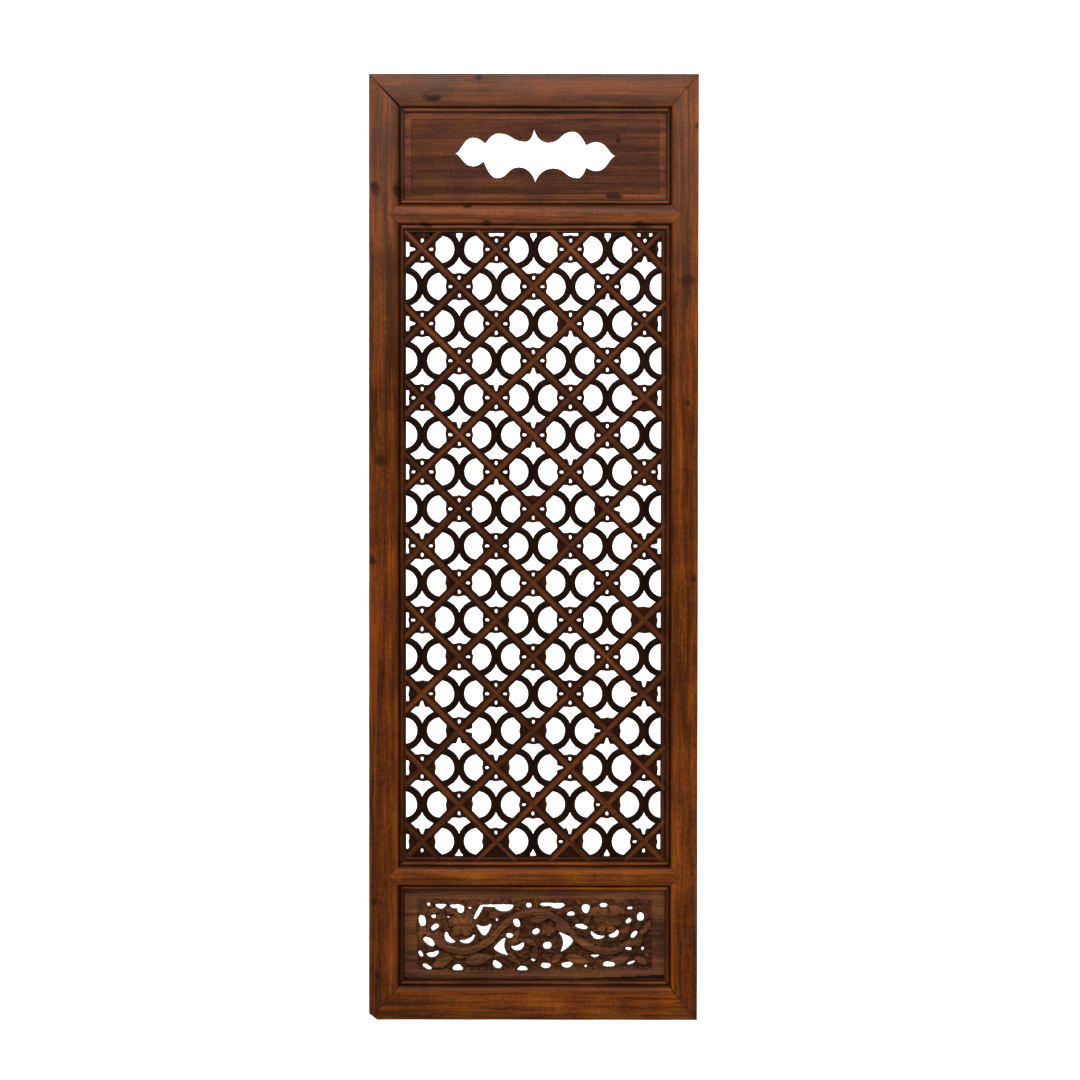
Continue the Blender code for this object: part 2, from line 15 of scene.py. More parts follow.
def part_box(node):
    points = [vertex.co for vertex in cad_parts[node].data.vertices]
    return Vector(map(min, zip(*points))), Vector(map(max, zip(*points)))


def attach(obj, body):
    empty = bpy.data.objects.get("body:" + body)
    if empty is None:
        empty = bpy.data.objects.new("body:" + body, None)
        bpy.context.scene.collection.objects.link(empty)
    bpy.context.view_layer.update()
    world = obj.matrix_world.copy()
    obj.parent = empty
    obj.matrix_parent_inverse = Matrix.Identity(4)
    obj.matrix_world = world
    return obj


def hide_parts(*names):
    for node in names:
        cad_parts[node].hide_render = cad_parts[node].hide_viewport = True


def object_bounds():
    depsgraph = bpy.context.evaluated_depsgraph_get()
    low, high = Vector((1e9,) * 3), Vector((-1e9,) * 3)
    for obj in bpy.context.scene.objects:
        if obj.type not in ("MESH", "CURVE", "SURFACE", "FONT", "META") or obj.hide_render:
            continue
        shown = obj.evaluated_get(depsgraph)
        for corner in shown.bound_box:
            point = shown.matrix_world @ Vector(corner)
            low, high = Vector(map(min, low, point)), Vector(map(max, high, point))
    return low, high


bl_info = {
    "name": "Carved Lattice Door Panel",
    "version": (1, 0, 0),
    "blender": (4, 5, 0),
    "location": "3D View > Sidebar > Door Panel",
    "description": "Models and dresses a carved wooden lattice door panel around its frame",
    "category": "Add Mesh",
}

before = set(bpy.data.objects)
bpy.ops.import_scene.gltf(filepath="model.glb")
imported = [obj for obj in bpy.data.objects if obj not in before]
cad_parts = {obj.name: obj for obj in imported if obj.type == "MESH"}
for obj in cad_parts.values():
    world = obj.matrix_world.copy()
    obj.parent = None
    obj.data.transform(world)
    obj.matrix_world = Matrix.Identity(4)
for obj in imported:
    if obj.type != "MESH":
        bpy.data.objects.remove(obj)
CAD_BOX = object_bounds()

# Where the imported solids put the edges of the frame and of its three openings
SIDE_LEFT, OPENING_LEFT = (corner.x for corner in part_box("stile_left"))
OPENING_RIGHT, SIDE_RIGHT = (corner.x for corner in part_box("stile_right"))
FRIEZE_TOP, TOP = (corner.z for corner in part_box("rail_top"))
LATTICE_TOP, FRIEZE_BOTTOM = (corner.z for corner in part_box("rail_frieze"))
CARVED_TOP, LATTICE_BOTTOM = (corner.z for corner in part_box("rail_lower"))
BOTTOM, CARVED_BOTTOM = (corner.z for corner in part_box("rail_bottom"))
FACE_DEPTH = -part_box("rail_top")[0].y
OPENING_MIDDLE = (OPENING_LEFT + OPENING_RIGHT) / 2
PANEL_MIDDLE = Vector((0, -FACE_DEPTH / 2, (TOP + BOTTOM) / 2))

RIGHT = Vector((1, 0, 0))
LEFT = -RIGHT
BACKWARD = Vector((0, 1, 0))
FORWARD = -BACKWARD
UP = Vector((0, 0, 1))
DOWN = -UP

# Angles of the grain away from upright, about Y
UPRIGHT = 0.0
LEVEL = math.pi / 2
RISING = -math.pi / 4
FALLING = math.pi / 4

# Webs of the lattice that are broken, filled or nearly filled: crossing (column, row) and sides
BROKEN_WEBS = {
    (0, 0): "W", (6, 0): "S", (5, 1): "S", (0, 2): "W", (4, 2): "S", (3, 3): "S", (2, 4): "N", (6, 4): "W",
    (1, 5): "N", (3, 5): "NS", (2, 6): "S", (4, 6): "N", (5, 7): "E", (0, 8): "N", (6, 8): "NE",
    (0, 12): "S", (6, 12): "NWS", (1, 13): "ES", (5, 13): "SW", (2, 14): "N", (4, 14): "W",
    (3, 15): "N", (0, 16): "N", (4, 16): "N", (6, 16): "N",
}
FILLED_WEBS = {
    (6, 0): "E", (4, 2): "W", (6, 2): "E", (0, 4): "E", (6, 4): "ES", (3, 7): "N", (5, 7): "W",
    (4, 8): "W", (1, 9): "W", (3, 9): "E", (0, 10): "E", (2, 10): "E", (6, 10): "NESW",
    (1, 11): "W", (3, 11): "E", (0, 12): "NW", (6, 12): "E", (1, 13): "W", (3, 13): "EW",
    (5, 13): "NE", (0, 14): "WE", (2, 14): "E", (4, 14): "E", (6, 14): "NEW", (1, 15): "EW",
    (3, 15): "E", (5, 15): "NE", (0, 16): "EW", (2, 16): "EWS", (4, 16): "ES", (6, 16): "E",
}


def a_length(name, description, default):
    return FloatProperty(name=name, description=description, default=default, unit="LENGTH")


def a_tone(name, description, default):
    return FloatVectorProperty(
        name=name, description=description, default=default, subtype="COLOR", min=0, max=1)


class DOORPANEL_PG_frame(bpy.types.PropertyGroup):
    """Moulding and wear of the frame members."""

    moulding_width: a_length("Moulding Width", "From an opening's edge to the flat face", 0.0205)
    bead_width: a_length("Bead Width", "Half-round bead along each opening", 0.0062)
    bead_rise: a_length("Bead Rise", "How far the bead swells above the opening's edge", 0.0028)
    edge_fall: a_length("Edge Fall", "How far the opening's edge lies behind the face", 0.0085)
    field_fall: a_length("Field Fall", "How far the field falls from the face to the quirk", 0.0060)
    arris: a_length("Arris", "Rounding of the outer edges", 0.0016)
    joint_gap: a_length("Joint Gap", "Gap of a closed mitre", 0.0004)
    open_joint: a_length("Open Joint", "How far the upper left mitre has opened at the bead", 0.0038)
    wear: a_length("Wear", "Unevenness that use has left", 0.00035)


class DOORPANEL_PG_lattice(bpy.types.PropertyGroup):
    """Cells and sections of the diagonal lattice."""

    columns: IntProperty(name="Columns", description="Cells across", default=7)
    rows: IntProperty(name="Rows", description="Cells down", default=17)
    pitch: a_length("Pitch", "Width and height of one cell", 0.0519)
    first_x: a_length("First Crossing Across", "From the opening's left edge", 0.02475)
    first_z: a_length("First Crossing Down", "From the opening's top edge", 0.0275)
    bar_width: a_length("Bar Width", "Width of a diagonal bar", 0.0130)
    front: a_length("Front", "How far the bars' faces lie in front of the back", 0.0265)
    back: a_length("Back", "How far the bars' backs lie in front of the back", 0.0137)
    arc_inner: a_length("Arc Inner Radius", "Radius of the round openings", 0.0190)
    arc_outer: a_length("Arc Outer Radius", "Outer radius of the arcs", 0.0282)
    web_side: a_length("Web Side", "From a crossing to the straight edge of its web", 0.0183)
    web_tip: a_length("Web Tip", "From a crossing to the tip of the web's lobe", 0.0193)
    hole_reach: a_length("Hole Reach", "From a crossing to the middle of the web's hole", 0.0123)
    hole_size: a_length("Hole Size", "Width of the web's hole", 0.0038)
    wear: a_length("Wear", "Unevenness of the hand work", 0.0005)


class DOORPANEL_PG_boards(bpy.types.PropertyGroup):
    """The two boards and what is cut in them."""

    gap: a_length("Gap", "Clearance of a board in its opening", 0.0004)
    frieze_front: a_length("Frieze Front", "Face of the frieze board in front of the back", 0.0245)
    frieze_thickness: a_length("Frieze Thickness", "Thickness of the frieze board", 0.0100)
    cartouche_length: a_length("Cartouche Length", "From tip to tip", 0.2260)
    cartouche_height: a_length("Cartouche Height", "From peak to peak", 0.0740)
    carved_front: a_length("Carved Front", "Ground of the carved board in front of the back", 0.0235)
    carved_thickness: a_length("Carved Thickness", "Thickness of the carved board", 0.0120)


class DOORPANEL_PG_wood(bpy.types.PropertyGroup):
    """Tones of the wood, before light and dirt."""

    frame_tone: a_tone("Frame", "Stiles and rails", (0.099, 0.0228, 0.0026))
    board_tone: a_tone("Frieze Board", "Board with the cartouche", (0.128, 0.0385, 0.0165))
    lattice_tone: a_tone("Lattice", "Bars, arcs and webs", (0.084, 0.0235, 0.0080))
    carved_tone: a_tone("Carved Board", "Board with the vine", (0.122, 0.0420, 0.0155))


class DOORPANEL_PG_stage(bpy.types.PropertyGroup):
    """Camera, light and sweep."""

    distance: a_length("Camera Distance", "From the panel's face", 4.2)
    camera_x: a_length("Camera Across", "Right of the panel's middle", 0.0091)
    camera_z: a_length("Camera Height", "Against the mount", -0.535)
    pitch: FloatProperty(
        name="Pitch", description="How far the camera looks down",
        default=math.radians(1.2), subtype="ANGLE")
    roll: FloatProperty(
        name="Roll", description="How far the camera leans",
        default=math.radians(0.06), subtype="ANGLE")
    lens: FloatProperty(name="Lens", description="Focal length in millimetres", default=100.3)
    drop: a_length("Floor Drop", "Floor below the panel", 0.35)
    behind: a_length("Sweep Distance", "Upright sweep behind the panel", 6.0)
    glow: FloatProperty(
        name="Sweep Glow", description="Light that the white sweep gives", default=1.0)
    key_power: FloatProperty(
        name="Key Power", description="Softbox above and in front, in watts", default=66)
    fill_power: FloatProperty(
        name="Fill Power", description="Each of the two fills at the sides, in watts", default=30)
    room: FloatProperty(name="Room Light", description="Strength of the pale room", default=0.09)


class Wire:
    """One output of a node. Sums written on it become Math nodes."""

    def __init__(self, finish, socket):
        self.finish = finish
        self.socket = socket

    def math(self, operation, first, second=0.0):
        return self.finish.node("ShaderNodeMath", {"operation": operation}, {0: first, 1: second})

    def __add__(self, other):
        return self.math("ADD", self, other)

    def __radd__(self, other):
        return self.math("ADD", other, self)

    def __sub__(self, other):
        return self.math("SUBTRACT", self, other)

    def __rsub__(self, other):
        return self.math("SUBTRACT", other, self)

    def __mul__(self, other):
        return self.math("MULTIPLY", self, other)

    def __truediv__(self, other):
        return self.math("DIVIDE", self, other)

    def __pow__(self, other):
        return self.math("POWER", self, other)

    def __abs__(self):
        return self.math("ABSOLUTE", self)

    def larger(self, other):
        return self.math("MAXIMUM", self, other)

    def smoothly(self, low, high):
        """0 at low and below, 1 at high and above."""
        return self.finish.node("ShaderNodeMapRange", {"interpolation_type": "SMOOTHSTEP"},
                                {"Value": self, "From Min": low, "From Max": high})


class Finish:
    """A material, with one way to make its nodes."""

    def __init__(self, name):
        self.material = bpy.data.materials.new(name)
        self.material.use_nodes = True
        self.tree = self.material.node_tree
        self.tree.nodes.clear()

    def node(self, kind, settings=None, sockets=None, output=0):
        """A new node: its settings are made first, then its sockets get values or wires."""
        made = self.tree.nodes.new(kind)
        for name, value in (settings or {}).items():
            if name == "stops":
                self.set_stops(made.color_ramp, value)
            else:
                setattr(made, name, value)
        for key, value in (sockets or {}).items():
            if isinstance(value, Wire):
                self.tree.links.new(value.socket, made.inputs[key])
            else:
                made.inputs[key].default_value = value
        if not made.outputs:
            return None
        return Wire(self, made.outputs[output])

    @staticmethod
    def set_stops(ramp, stops):
        while len(ramp.elements) > 1:
            ramp.elements.remove(ramp.elements[-1])
        for index, (place, colour) in enumerate(stops):
            stop = ramp.elements[0] if index == 0 else ramp.elements.new(place)
            stop.position = place
            stop.color = (*colour, 1)

    def vector(self, operation, first, second):
        return self.node("ShaderNodeVectorMath", {"operation": operation}, {0: first, 1: second})

    def mix(self, share, first, second, blend="MIX"):
        """A colour between two, or the second laid on the first."""
        return self.node("ShaderNodeMix", {"data_type": "RGBA", "blend_type": blend},
                         {"Factor": share, "A": first, "B": second}, "Result")

    def noise(self, place, scale, detail, roughness=0.5, distortion=0.0):
        sockets = {"Vector": place, "Scale": scale, "Detail": detail,
                   "Roughness": roughness, "Distortion": distortion}
        return self.node("ShaderNodeTexNoise", {}, sockets, "Fac")

    def surface(self, colour, roughness, height, strength, distance, shine):
        """The shader of the piece, its bump and the material's output."""
        sockets = {"Height": height, "Strength": strength, "Distance": distance}
        normal = self.node("ShaderNodeBump", {}, sockets)
        shader = self.node("ShaderNodeBsdfPrincipled", {}, {
            "Base Color": colour, "Roughness": roughness, "Normal": normal,
            "Specular IOR Level": shine})
        self.node("ShaderNodeOutputMaterial", {}, {"Surface": shader})
        return self.material


def shaded(tone, share, warmth=0.0):
    """A tone made lighter or darker, and a little warmer."""
    red, green, blue = tone
    return (min(1, red * share * (1 + warmth)), green * share, blue * share * (1 - warmth))


def wood(name, tone, lean, seed, dirt_and_shade, knots=(), contrast=1.0, grain_size=1.0,
         edge_shade=0.50, shine=0.10, top_sheen=0.0):
    """Old varnished wood: grain along one direction, knots, and dirt with painted shade in all that lies
    deep.

    lean is the angle of the grain away from upright, about Y. The depth pair holds how far in front of
    the back the dirt and painted shade are thickest and gone. A knot is x, z, width and height. The edge
    amount is how much painted shade darkens the sides, and the top amount how much a painted sheen pales
    the very top.
    """
    finish = Finish(name)
    place = finish.node("ShaderNodeTexCoord", {}, {}, "Object")
    across, depth, along = (finish.node("ShaderNodeSeparateXYZ", {}, {"Vector": place}, axis)
                            for axis in ("X", "Y", "Z"))
    wobble = (finish.noise(place, 75.0, 3.0) - 0.5) * 0.013
    knot_mask = finish.node("ShaderNodeValue", {}, {}) * 0.0
    for x, z, width, height in knots:
        aside = ((across + wobble - x) / (width / 2)) ** 2.0
        above = ((along - wobble - z) / (height / 2)) ** 2.0
        knot_mask = knot_mask.larger(1.0 - (aside + above).smoothly(0.0, 1.25))
    wander = finish.noise(place, 9.0, 2.0)
    bend = finish.node("ShaderNodeCombineXYZ", {}, {
        "X": (wander - 0.5) * 0.012, "Z": knot_mask * 0.02})
    moved = finish.vector("ADD", place, bend)
    turned = finish.node("ShaderNodeMapping", {}, {
        "Vector": moved, "Rotation": (0, lean, 0),
        "Location": (seed * 0.37, seed * 0.11, seed * 0.53)})
    hair, streak, band = (
        finish.noise(finish.vector("MULTIPLY", turned, (close / grain_size, close / grain_size, far)),
                     1.0, detail, rough, distortion)
        for close, far, detail, rough, distortion in (
            (520, 14, 4.0, 0.6, 0.3), (95, 3.0, 5.0, 0.62, 0.5), (26, 2.2, 3.0, 0.5, 0.3)))
    patch = finish.noise(turned, 16.0, 3.0, 0.55)
    speck = finish.noise(place, 330.0, 2.0, 0.6)
    figure = 0.5 + ((hair - 0.5) * 0.65 + (streak - 0.5) * 0.95 + (band - 0.5) * 0.50
                    + (patch - 0.5) * 0.30 + (speck - 0.5) * 0.38) * contrast
    ramp = finish.node("ShaderNodeValToRGB", {"stops": [
        (0.18, shaded(tone, 0.42, -0.04)), (0.38, shaded(tone, 0.74, 0.02)),
        (0.54, shaded(tone, 1.02, 0.0)), (0.70, shaded(tone, 1.38, 0.03)),
        (0.88, shaded(tone, 1.80, 0.02))]}, {"Fac": figure}, "Color")
    tint = finish.mix(finish.noise(place, 22.0, 2.0).smoothly(0.36, 0.64),
                      (0.88, 0.84, 1.05, 1), (1.12, 1.14, 0.85, 1))
    tinted = finish.mix(1.0, ramp, tint, "MULTIPLY")
    # Painted sheen: towards the top the wood is mixed towards a pale colour, standing in for the sheen of
    # the light above.
    pale = finish.mix(along.smoothly(-0.45, 0.0) * top_sheen, tinted, (0.30, 0.20, 0.15, 1))
    knotted = finish.mix(knot_mask * 0.85, pale, (*shaded(tone, 0.22), 1))
    # Dirt and painted shade: the deeper a place lies, the more it is darkened.
    front = depth * -1.0
    unshaded_and_clean = front.smoothly(*dirt_and_shade)
    facing = finish.node("ShaderNodeNewGeometry", {}, {}, "Normal")
    faces_front = abs(finish.node("ShaderNodeSeparateXYZ", {}, {"Vector": facing}, "Y"))
    dirt_and_deep_shade = (1.0 - unshaded_and_clean) * (0.62 + (patch - 0.5) * 0.9)
    # Painted shade: faces that turn away from the front are darkened.
    painted_edge_shade = (1.0 - faces_front.smoothly(0.62, 0.985)) * edge_shade
    # Both dirt and painted shade mix the wood towards this dark colour.
    dirtied_and_shaded = finish.mix(dirt_and_deep_shade.larger(painted_edge_shade), knotted, (0.010, 0.0045, 0.0028, 1))
    roughness = 0.37 + (patch - 0.5) * 0.30 + (hair - 0.5) * 0.15 + dirt_and_deep_shade * 0.25
    height = hair * 0.5 + streak * 0.5
    return finish.surface(dirtied_and_shaded, roughness, height, 0.35, 0.0006, shine)


@contextmanager
def editing(piece):
    """The piece in edit mode with everything on it selected, and out of it again."""
    select_only(piece)
    bpy.ops.object.mode_set(mode="EDIT")
    bpy.ops.mesh.select_mode(type="VERT")
    bpy.ops.mesh.select_all(action="SELECT")
    yield
    bpy.ops.object.mode_set(mode="OBJECT")


def pick(piece, parts, test):
    """In edit mode, select only those of the piece's polygons or edges that pass a test."""
    bpy.ops.mesh.select_mode(type="FACE" if parts == "polygons" else "EDGE")
    bpy.ops.mesh.select_all(action="DESELECT")
    bpy.ops.object.mode_set(mode="OBJECT")
    for part in getattr(piece.data, parts):
        part.select = test(part)
    bpy.ops.object.mode_set(mode="EDIT")


def face_outwards():
    bpy.ops.mesh.select_all(action="SELECT")
    bpy.ops.mesh.normals_make_consistent(inside=False)


def select_nothing():
    bpy.ops.object.select_all(action="DESELECT")


def select_only(piece):
    select_nothing()
    piece.select_set(True)
    bpy.context.view_layer.objects.active = piece


def new_piece(name):
    piece = bpy.context.active_object
    piece.name = name
    piece.data.name = name
    return piece


def flat_shape(name, corners, filled=True):
    """A flat face, or its open outline, made from a circle with as many corners."""
    select_nothing()
    fill = "NGON" if filled else "NOTHING"
    bpy.ops.mesh.primitive_circle_add(vertices=len(corners), fill_type=fill)
    piece = new_piece(name)
    for vertex, corner in zip(piece.data.vertices, corners):
        vertex.co = corner
    return piece


def extrude(piece, reach, steps=1):
    """Draw everything out along reach, and turn all faces outwards."""
    with editing(piece):
        for step in range(steps):
            bpy.ops.mesh.extrude_region_move(TRANSFORM_OT_translate={"value": reach / steps})
        face_outwards()


def cut(piece, point, outward):
    """Cut off what lies past a plane, and close the cut."""
    with editing(piece):
        bpy.ops.mesh.bisect(plane_co=point, plane_no=outward, use_fill=True, clear_outer=True,
                            threshold=0.000002)


def apply_modifier(piece, kind, **settings):
    select_only(piece)
    modifier = piece.modifiers.new(kind.title(), kind)
    for name, value in settings.items():
        setattr(modifier, name, value)
    bpy.ops.object.modifier_apply(modifier=modifier.name)


def carve(piece, tool):
    """Cut a tool's shape out of a piece, and throw the tool away."""
    apply_modifier(piece, "BOOLEAN", operation="DIFFERENCE", object=tool)
    bpy.data.objects.remove(tool, do_unlink=True)


def copy_of(piece, name, matrix):
    """A copy with its own mesh, its corners carried by the matrix."""
    select_only(piece)
    bpy.ops.object.duplicate()
    made = new_piece(name)
    made.data.transform(matrix)
    if matrix.determinant() < 0:
        made.data.flip_normals()
    return made


def join(pieces, name):
    select_nothing()
    for piece in pieces:
        piece.select_set(True)
    bpy.context.view_layer.objects.active = pieces[0]
    bpy.ops.object.join()
    return new_piece(name)


def weather(piece, amount, size, seed):
    """Shift every corner a little, as hand work and use do, but not past the solids' box.

    seed is 1 or more, because the noise would start from the clock with 0.
    """
    noise.seed_set(seed)
    low, high = CAD_BOX
    shift = Vector((7.31, 3.17, 1.93)) * seed
    for vertex in piece.data.vertices:
        moved = vertex.co + noise.noise_vector(vertex.co / size + shift) * amount
        vertex.co = [min(max(moved[k], low[k]), high[k]) for k in range(3)]


def complete(piece, material, slot, *nodes, smooth=30):
    """Give a piece smooth shading and its wood, hang it under the root, and hide the imported solids that
    it stands for.
    """
    select_only(piece)
    bpy.ops.object.shade_smooth_by_angle(angle=math.radians(smooth))
    piece.data.materials.clear()
    piece.data.materials.append(material)
    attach(piece, "root")
    if nodes:
        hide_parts(*nodes)
    return piece


def arc(middle_x, middle_y, radius_x, radius_y, start, end, steps):
    """Points along an ellipse's arc, both ends included. Angles in degrees."""
    points = []
    for step in range(steps + 1):
        angle = math.radians(start + (end - start) * step / steps)
        points.append((middle_x + radius_x * math.cos(angle), middle_y + radius_y * math.sin(angle)))
    return points


def moulding(sizes):
    """Section of the moulding as (distance from the opening's edge, height above the back)."""
    edge = FACE_DEPTH - sizes.edge_fall
    quirk = sizes.bead_width * 0.12
    bead = arc(sizes.bead_width / 2, edge, sizes.bead_width / 2 - quirk / 2, sizes.bead_rise, 180, 0, 8)
    field_width = sizes.moulding_width - sizes.bead_width - quirk
    field_foot = FACE_DEPTH - sizes.field_fall
    field = arc(sizes.moulding_width, field_foot, field_width, sizes.field_fall, 180, 90, 8)
    floor = edge - sizes.bead_rise * 0.35
    return [(0, edge)] + bead + [(sizes.bead_width, floor)] + field


def outer_section(sizes, width):
    """Section of a stile or end rail, from its outer edge to the opening."""
    corner = arc(sizes.arris, FACE_DEPTH - sizes.arris, sizes.arris, sizes.arris, 180, 90, 3)
    inner = [(width - across, height) for across, height in reversed(moulding(sizes))]
    return [(0, 0)] + corner + inner + [(width, 0)]


def middle_section(sizes, width):
    """Section of a middle rail, moulded on both edges, which share a crest if no flat lies between."""
    upper = moulding(sizes)
    lower = [(width - across, height) for across, height in reversed(upper)]
    least_flat = 0.0001
    if width - 2 * sizes.moulding_width < least_flat:
        lower = lower[1:]
    return [(0, 0)] + upper + lower + [(width, 0)]


def member(name, section, start, across, along, length, step=0.012):
    """A length of wood in short steps: its section runs from start in the direction across."""
    corners = [start + across * reach + FORWARD * height for reach, height in section]
    piece = flat_shape(name, corners)
    extrude(piece, along * length, round(length / step))
    return piece


def mitre_normal(outer, inner, towards):
    normal = BACKWARD.cross(inner - outer).normalized()
    return normal if normal.dot(towards) > 0 else -normal


def mitre(rail, stile, outer, inner, stile_side, gap_outer, gap_inner):
    """Cut a rail and a stile to the line between an opening's corner and the panel's."""
    normal = mitre_normal(outer, inner, stile_side)
    for piece, side in ((rail, 1), (stile, -1)):
        near = outer - normal * side * gap_outer / 2
        far = inner - normal * side * gap_inner / 2
        cut(piece, near, mitre_normal(near, far, normal * side))


class DOORPANEL_OT_frame(bpy.types.Operator):
    """Stiles and rails with their mouldings, mitres and pointed shoulders"""

    bl_idname = "doorpanel.frame"
    bl_label = "Frame Members"

    def execute(self, context):
        sizes = context.scene.door_frame
        tone = context.scene.door_wood.frame_tone
        tall, wide = TOP - BOTTOM, SIDE_RIGHT - SIDE_LEFT
        stile_left, stile_right, rail_top, rail_bottom = (
            member(name, outer_section(sizes, width), Vector((x, 0, z)), across, along, length)
            for name, width, x, z, across, along, length in (
                ("left_stile", OPENING_LEFT - SIDE_LEFT, SIDE_LEFT, BOTTOM, RIGHT, UP, tall),
                ("right_stile", SIDE_RIGHT - OPENING_RIGHT, SIDE_RIGHT, BOTTOM, LEFT, UP, tall),
                ("top_rail", TOP - FRIEZE_TOP, SIDE_LEFT, TOP, DOWN, RIGHT, wide),
                ("bottom_rail", CARVED_BOTTOM - BOTTOM, SIDE_LEFT, BOTTOM, UP, RIGHT, wide)))
        corners = (
            (rail_top, stile_left, (SIDE_LEFT, TOP), (OPENING_LEFT, FRIEZE_TOP), DOWN, sizes.open_joint),
            (rail_top, stile_right, (SIDE_RIGHT, TOP), (OPENING_RIGHT, FRIEZE_TOP), DOWN, 0.0007),
            (rail_bottom, stile_left, (SIDE_LEFT, BOTTOM), (OPENING_LEFT, CARVED_BOTTOM), UP, 0.0006),
            (rail_bottom, stile_right, (SIDE_RIGHT, BOTTOM), (OPENING_RIGHT, CARVED_BOTTOM), UP, 0.0010),
        )
        for rail, stile, outer, inner, side, gap in corners:
            mitre(rail, stile, Vector((outer[0], 0, outer[1])), Vector((inner[0], 0, inner[1])),
                  side, sizes.joint_gap / 2, gap)
        self.chip((stile_left, rail_bottom))
        tongue = self.tongue()
        rail_frieze = self.middle_rail(sizes, "frieze_rail", FRIEZE_BOTTOM, LATTICE_TOP)
        rail_lower = self.middle_rail(sizes, "lower_rail", LATTICE_BOTTOM, CARVED_TOP)
        for stile, edge in ((stile_left, OPENING_LEFT), (stile_right, OPENING_RIGHT)):
            for top, bottom in ((FRIEZE_BOTTOM, LATTICE_TOP), (LATTICE_BOTTOM, CARVED_TOP)):
                self.notch(sizes, stile, edge, (top + bottom) / 2, top - bottom)
        edge = FACE_DEPTH - sizes.edge_fall
        members = (
            (stile_left, "stile_left", shaded(tone, 1.06), UPRIGHT, 1, (
                (-0.2205, -0.133, 0.016, 0.024), (-0.189, -0.136, 0.018, 0.022),
                (-0.213, -0.512, 0.026, 0.016), (-0.2255, -0.652, 0.010, 0.016),
                (-0.2215, -1.130, 0.010, 0.014), (-0.217, -1.233, 0.012, 0.010))),
            (stile_right, "stile_right", shaded(tone, 1.32), UPRIGHT, 2, (
                (0.2140, -0.261, 0.028, 0.018), (0.2140, -0.431, 0.012, 0.009),
                (0.2240, -0.677, 0.010, 0.014), (0.2280, -0.046, 0.010, 0.012))),
            (rail_top, "rail_top", shaded(tone, 0.90), LEVEL, 3, (
                (-0.075, 0.020, 0.012, 0.009), (-0.140, -0.008, 0.030, 0.012))),
            (rail_frieze, "rail_frieze", shaded(tone, 1.20), LEVEL, 4, (
                (-0.092, -0.157, 0.016, 0.008), (-0.150, -0.183, 0.020, 0.010),
                (-0.066, -0.181, 0.016, 0.010), (0.150, -0.183, 0.030, 0.012))),
            (rail_lower, "rail_lower", shaded(tone, 1.50, -0.08), LEVEL, 5, ()),
            (rail_bottom, "rail_bottom", shaded(tone, 1.30, -0.03), LEVEL, 6, ()),
        )
        # Painted shade: the tongue's tone is cut to 0.3, so the open mitre looks dark.
        complete(tongue, wood("tongue_wood", shaded(tone, 0.3), LEVEL, 7, (0.01, 0.04)), "frame_wood")
        for piece, node, own_tone, lean, seed, knots in members:
            weather(piece, sizes.wear, 0.05, seed)
            # Dirt and painted shade in the mouldings' depths reach higher up the beads of the stiles, as
            # light from above leaves upright beads unlit.
            dirt_and_shade = (-0.001, sizes.bead_rise) if lean == LEVEL else (0.002, 0.007)
            # The frame's wood also gets painted shade on its sides and a painted sheen at the top.
            material = wood(piece.name + "_wood", own_tone, lean, seed, (edge + dirt_and_shade[0], edge + dirt_and_shade[1]),
                            knots, contrast=1.90, edge_shade=0.6, shine=0.08, top_sheen=0.09)
            complete(piece, material, "frame_wood", node)
        return {"FINISHED"}

    def tongue(self):
        """The loose tongue inside the opened mitre, which keeps the light out of the crack."""
        outer, inner = Vector((SIDE_LEFT, 0, TOP)), Vector((OPENING_LEFT, 0, FRIEZE_TOP))
        side = BACKWARD.cross(inner - outer).normalized() * 0.006
        ends = [outer.lerp(inner, share) + FORWARD * FACE_DEPTH * 0.66 for share in (0.15, 1.04)]
        corners = [ends[0] - side, ends[1] - side, ends[1] + side, ends[0] + side]
        tongue = flat_shape("mitre_tongue", corners)
        extrude(tongue, FORWARD * FACE_DEPTH * 0.09)
        return tongue

    def middle_rail(self, sizes, name, top, bottom):
        """A rail whose ends are cut to a point and reach into both stiles."""
        reach = sizes.moulding_width
        spare = 1.33 * reach
        start = Vector((OPENING_LEFT - spare, 0, top))
        length = OPENING_RIGHT - OPENING_LEFT + 2 * spare
        rail = member(name, middle_section(sizes, top - bottom), start, DOWN, RIGHT, length)
        middle = (top + bottom) / 2
        for side, edge in ((LEFT, OPENING_LEFT), (RIGHT, OPENING_RIGHT)):
            tip = Vector((edge, 0, middle)) + side * reach
            for slope in (UP, DOWN):
                cut(rail, tip, (side + slope).normalized())
        with editing(rail):
            bpy.ops.mesh.fill_holes(sides=0)
            face_outwards()
        return rail

    def notch(self, sizes, stile, edge, middle, height):
        """Cut the place of a rail's point out of a stile's moulding."""
        side = (height / 2 + sizes.joint_gap * 1.5) * math.sqrt(2)
        select_nothing()
        bpy.ops.mesh.primitive_cube_add(
            size=1, location=(edge, 0, middle), rotation=(0, math.pi / 4, 0),
            scale=(side, FACE_DEPTH * 3, side))
        carve(stile, new_piece("notch"))

    def chip(self, pieces):
        """Take the lost corner off the lower left, where the solids have lost it."""
        width, height = 0.012, 0.009
        for piece in pieces:
            cut(piece, Vector((SIDE_LEFT + width, 0, BOTTOM)), Vector((-height, 0, -width)).normalized())


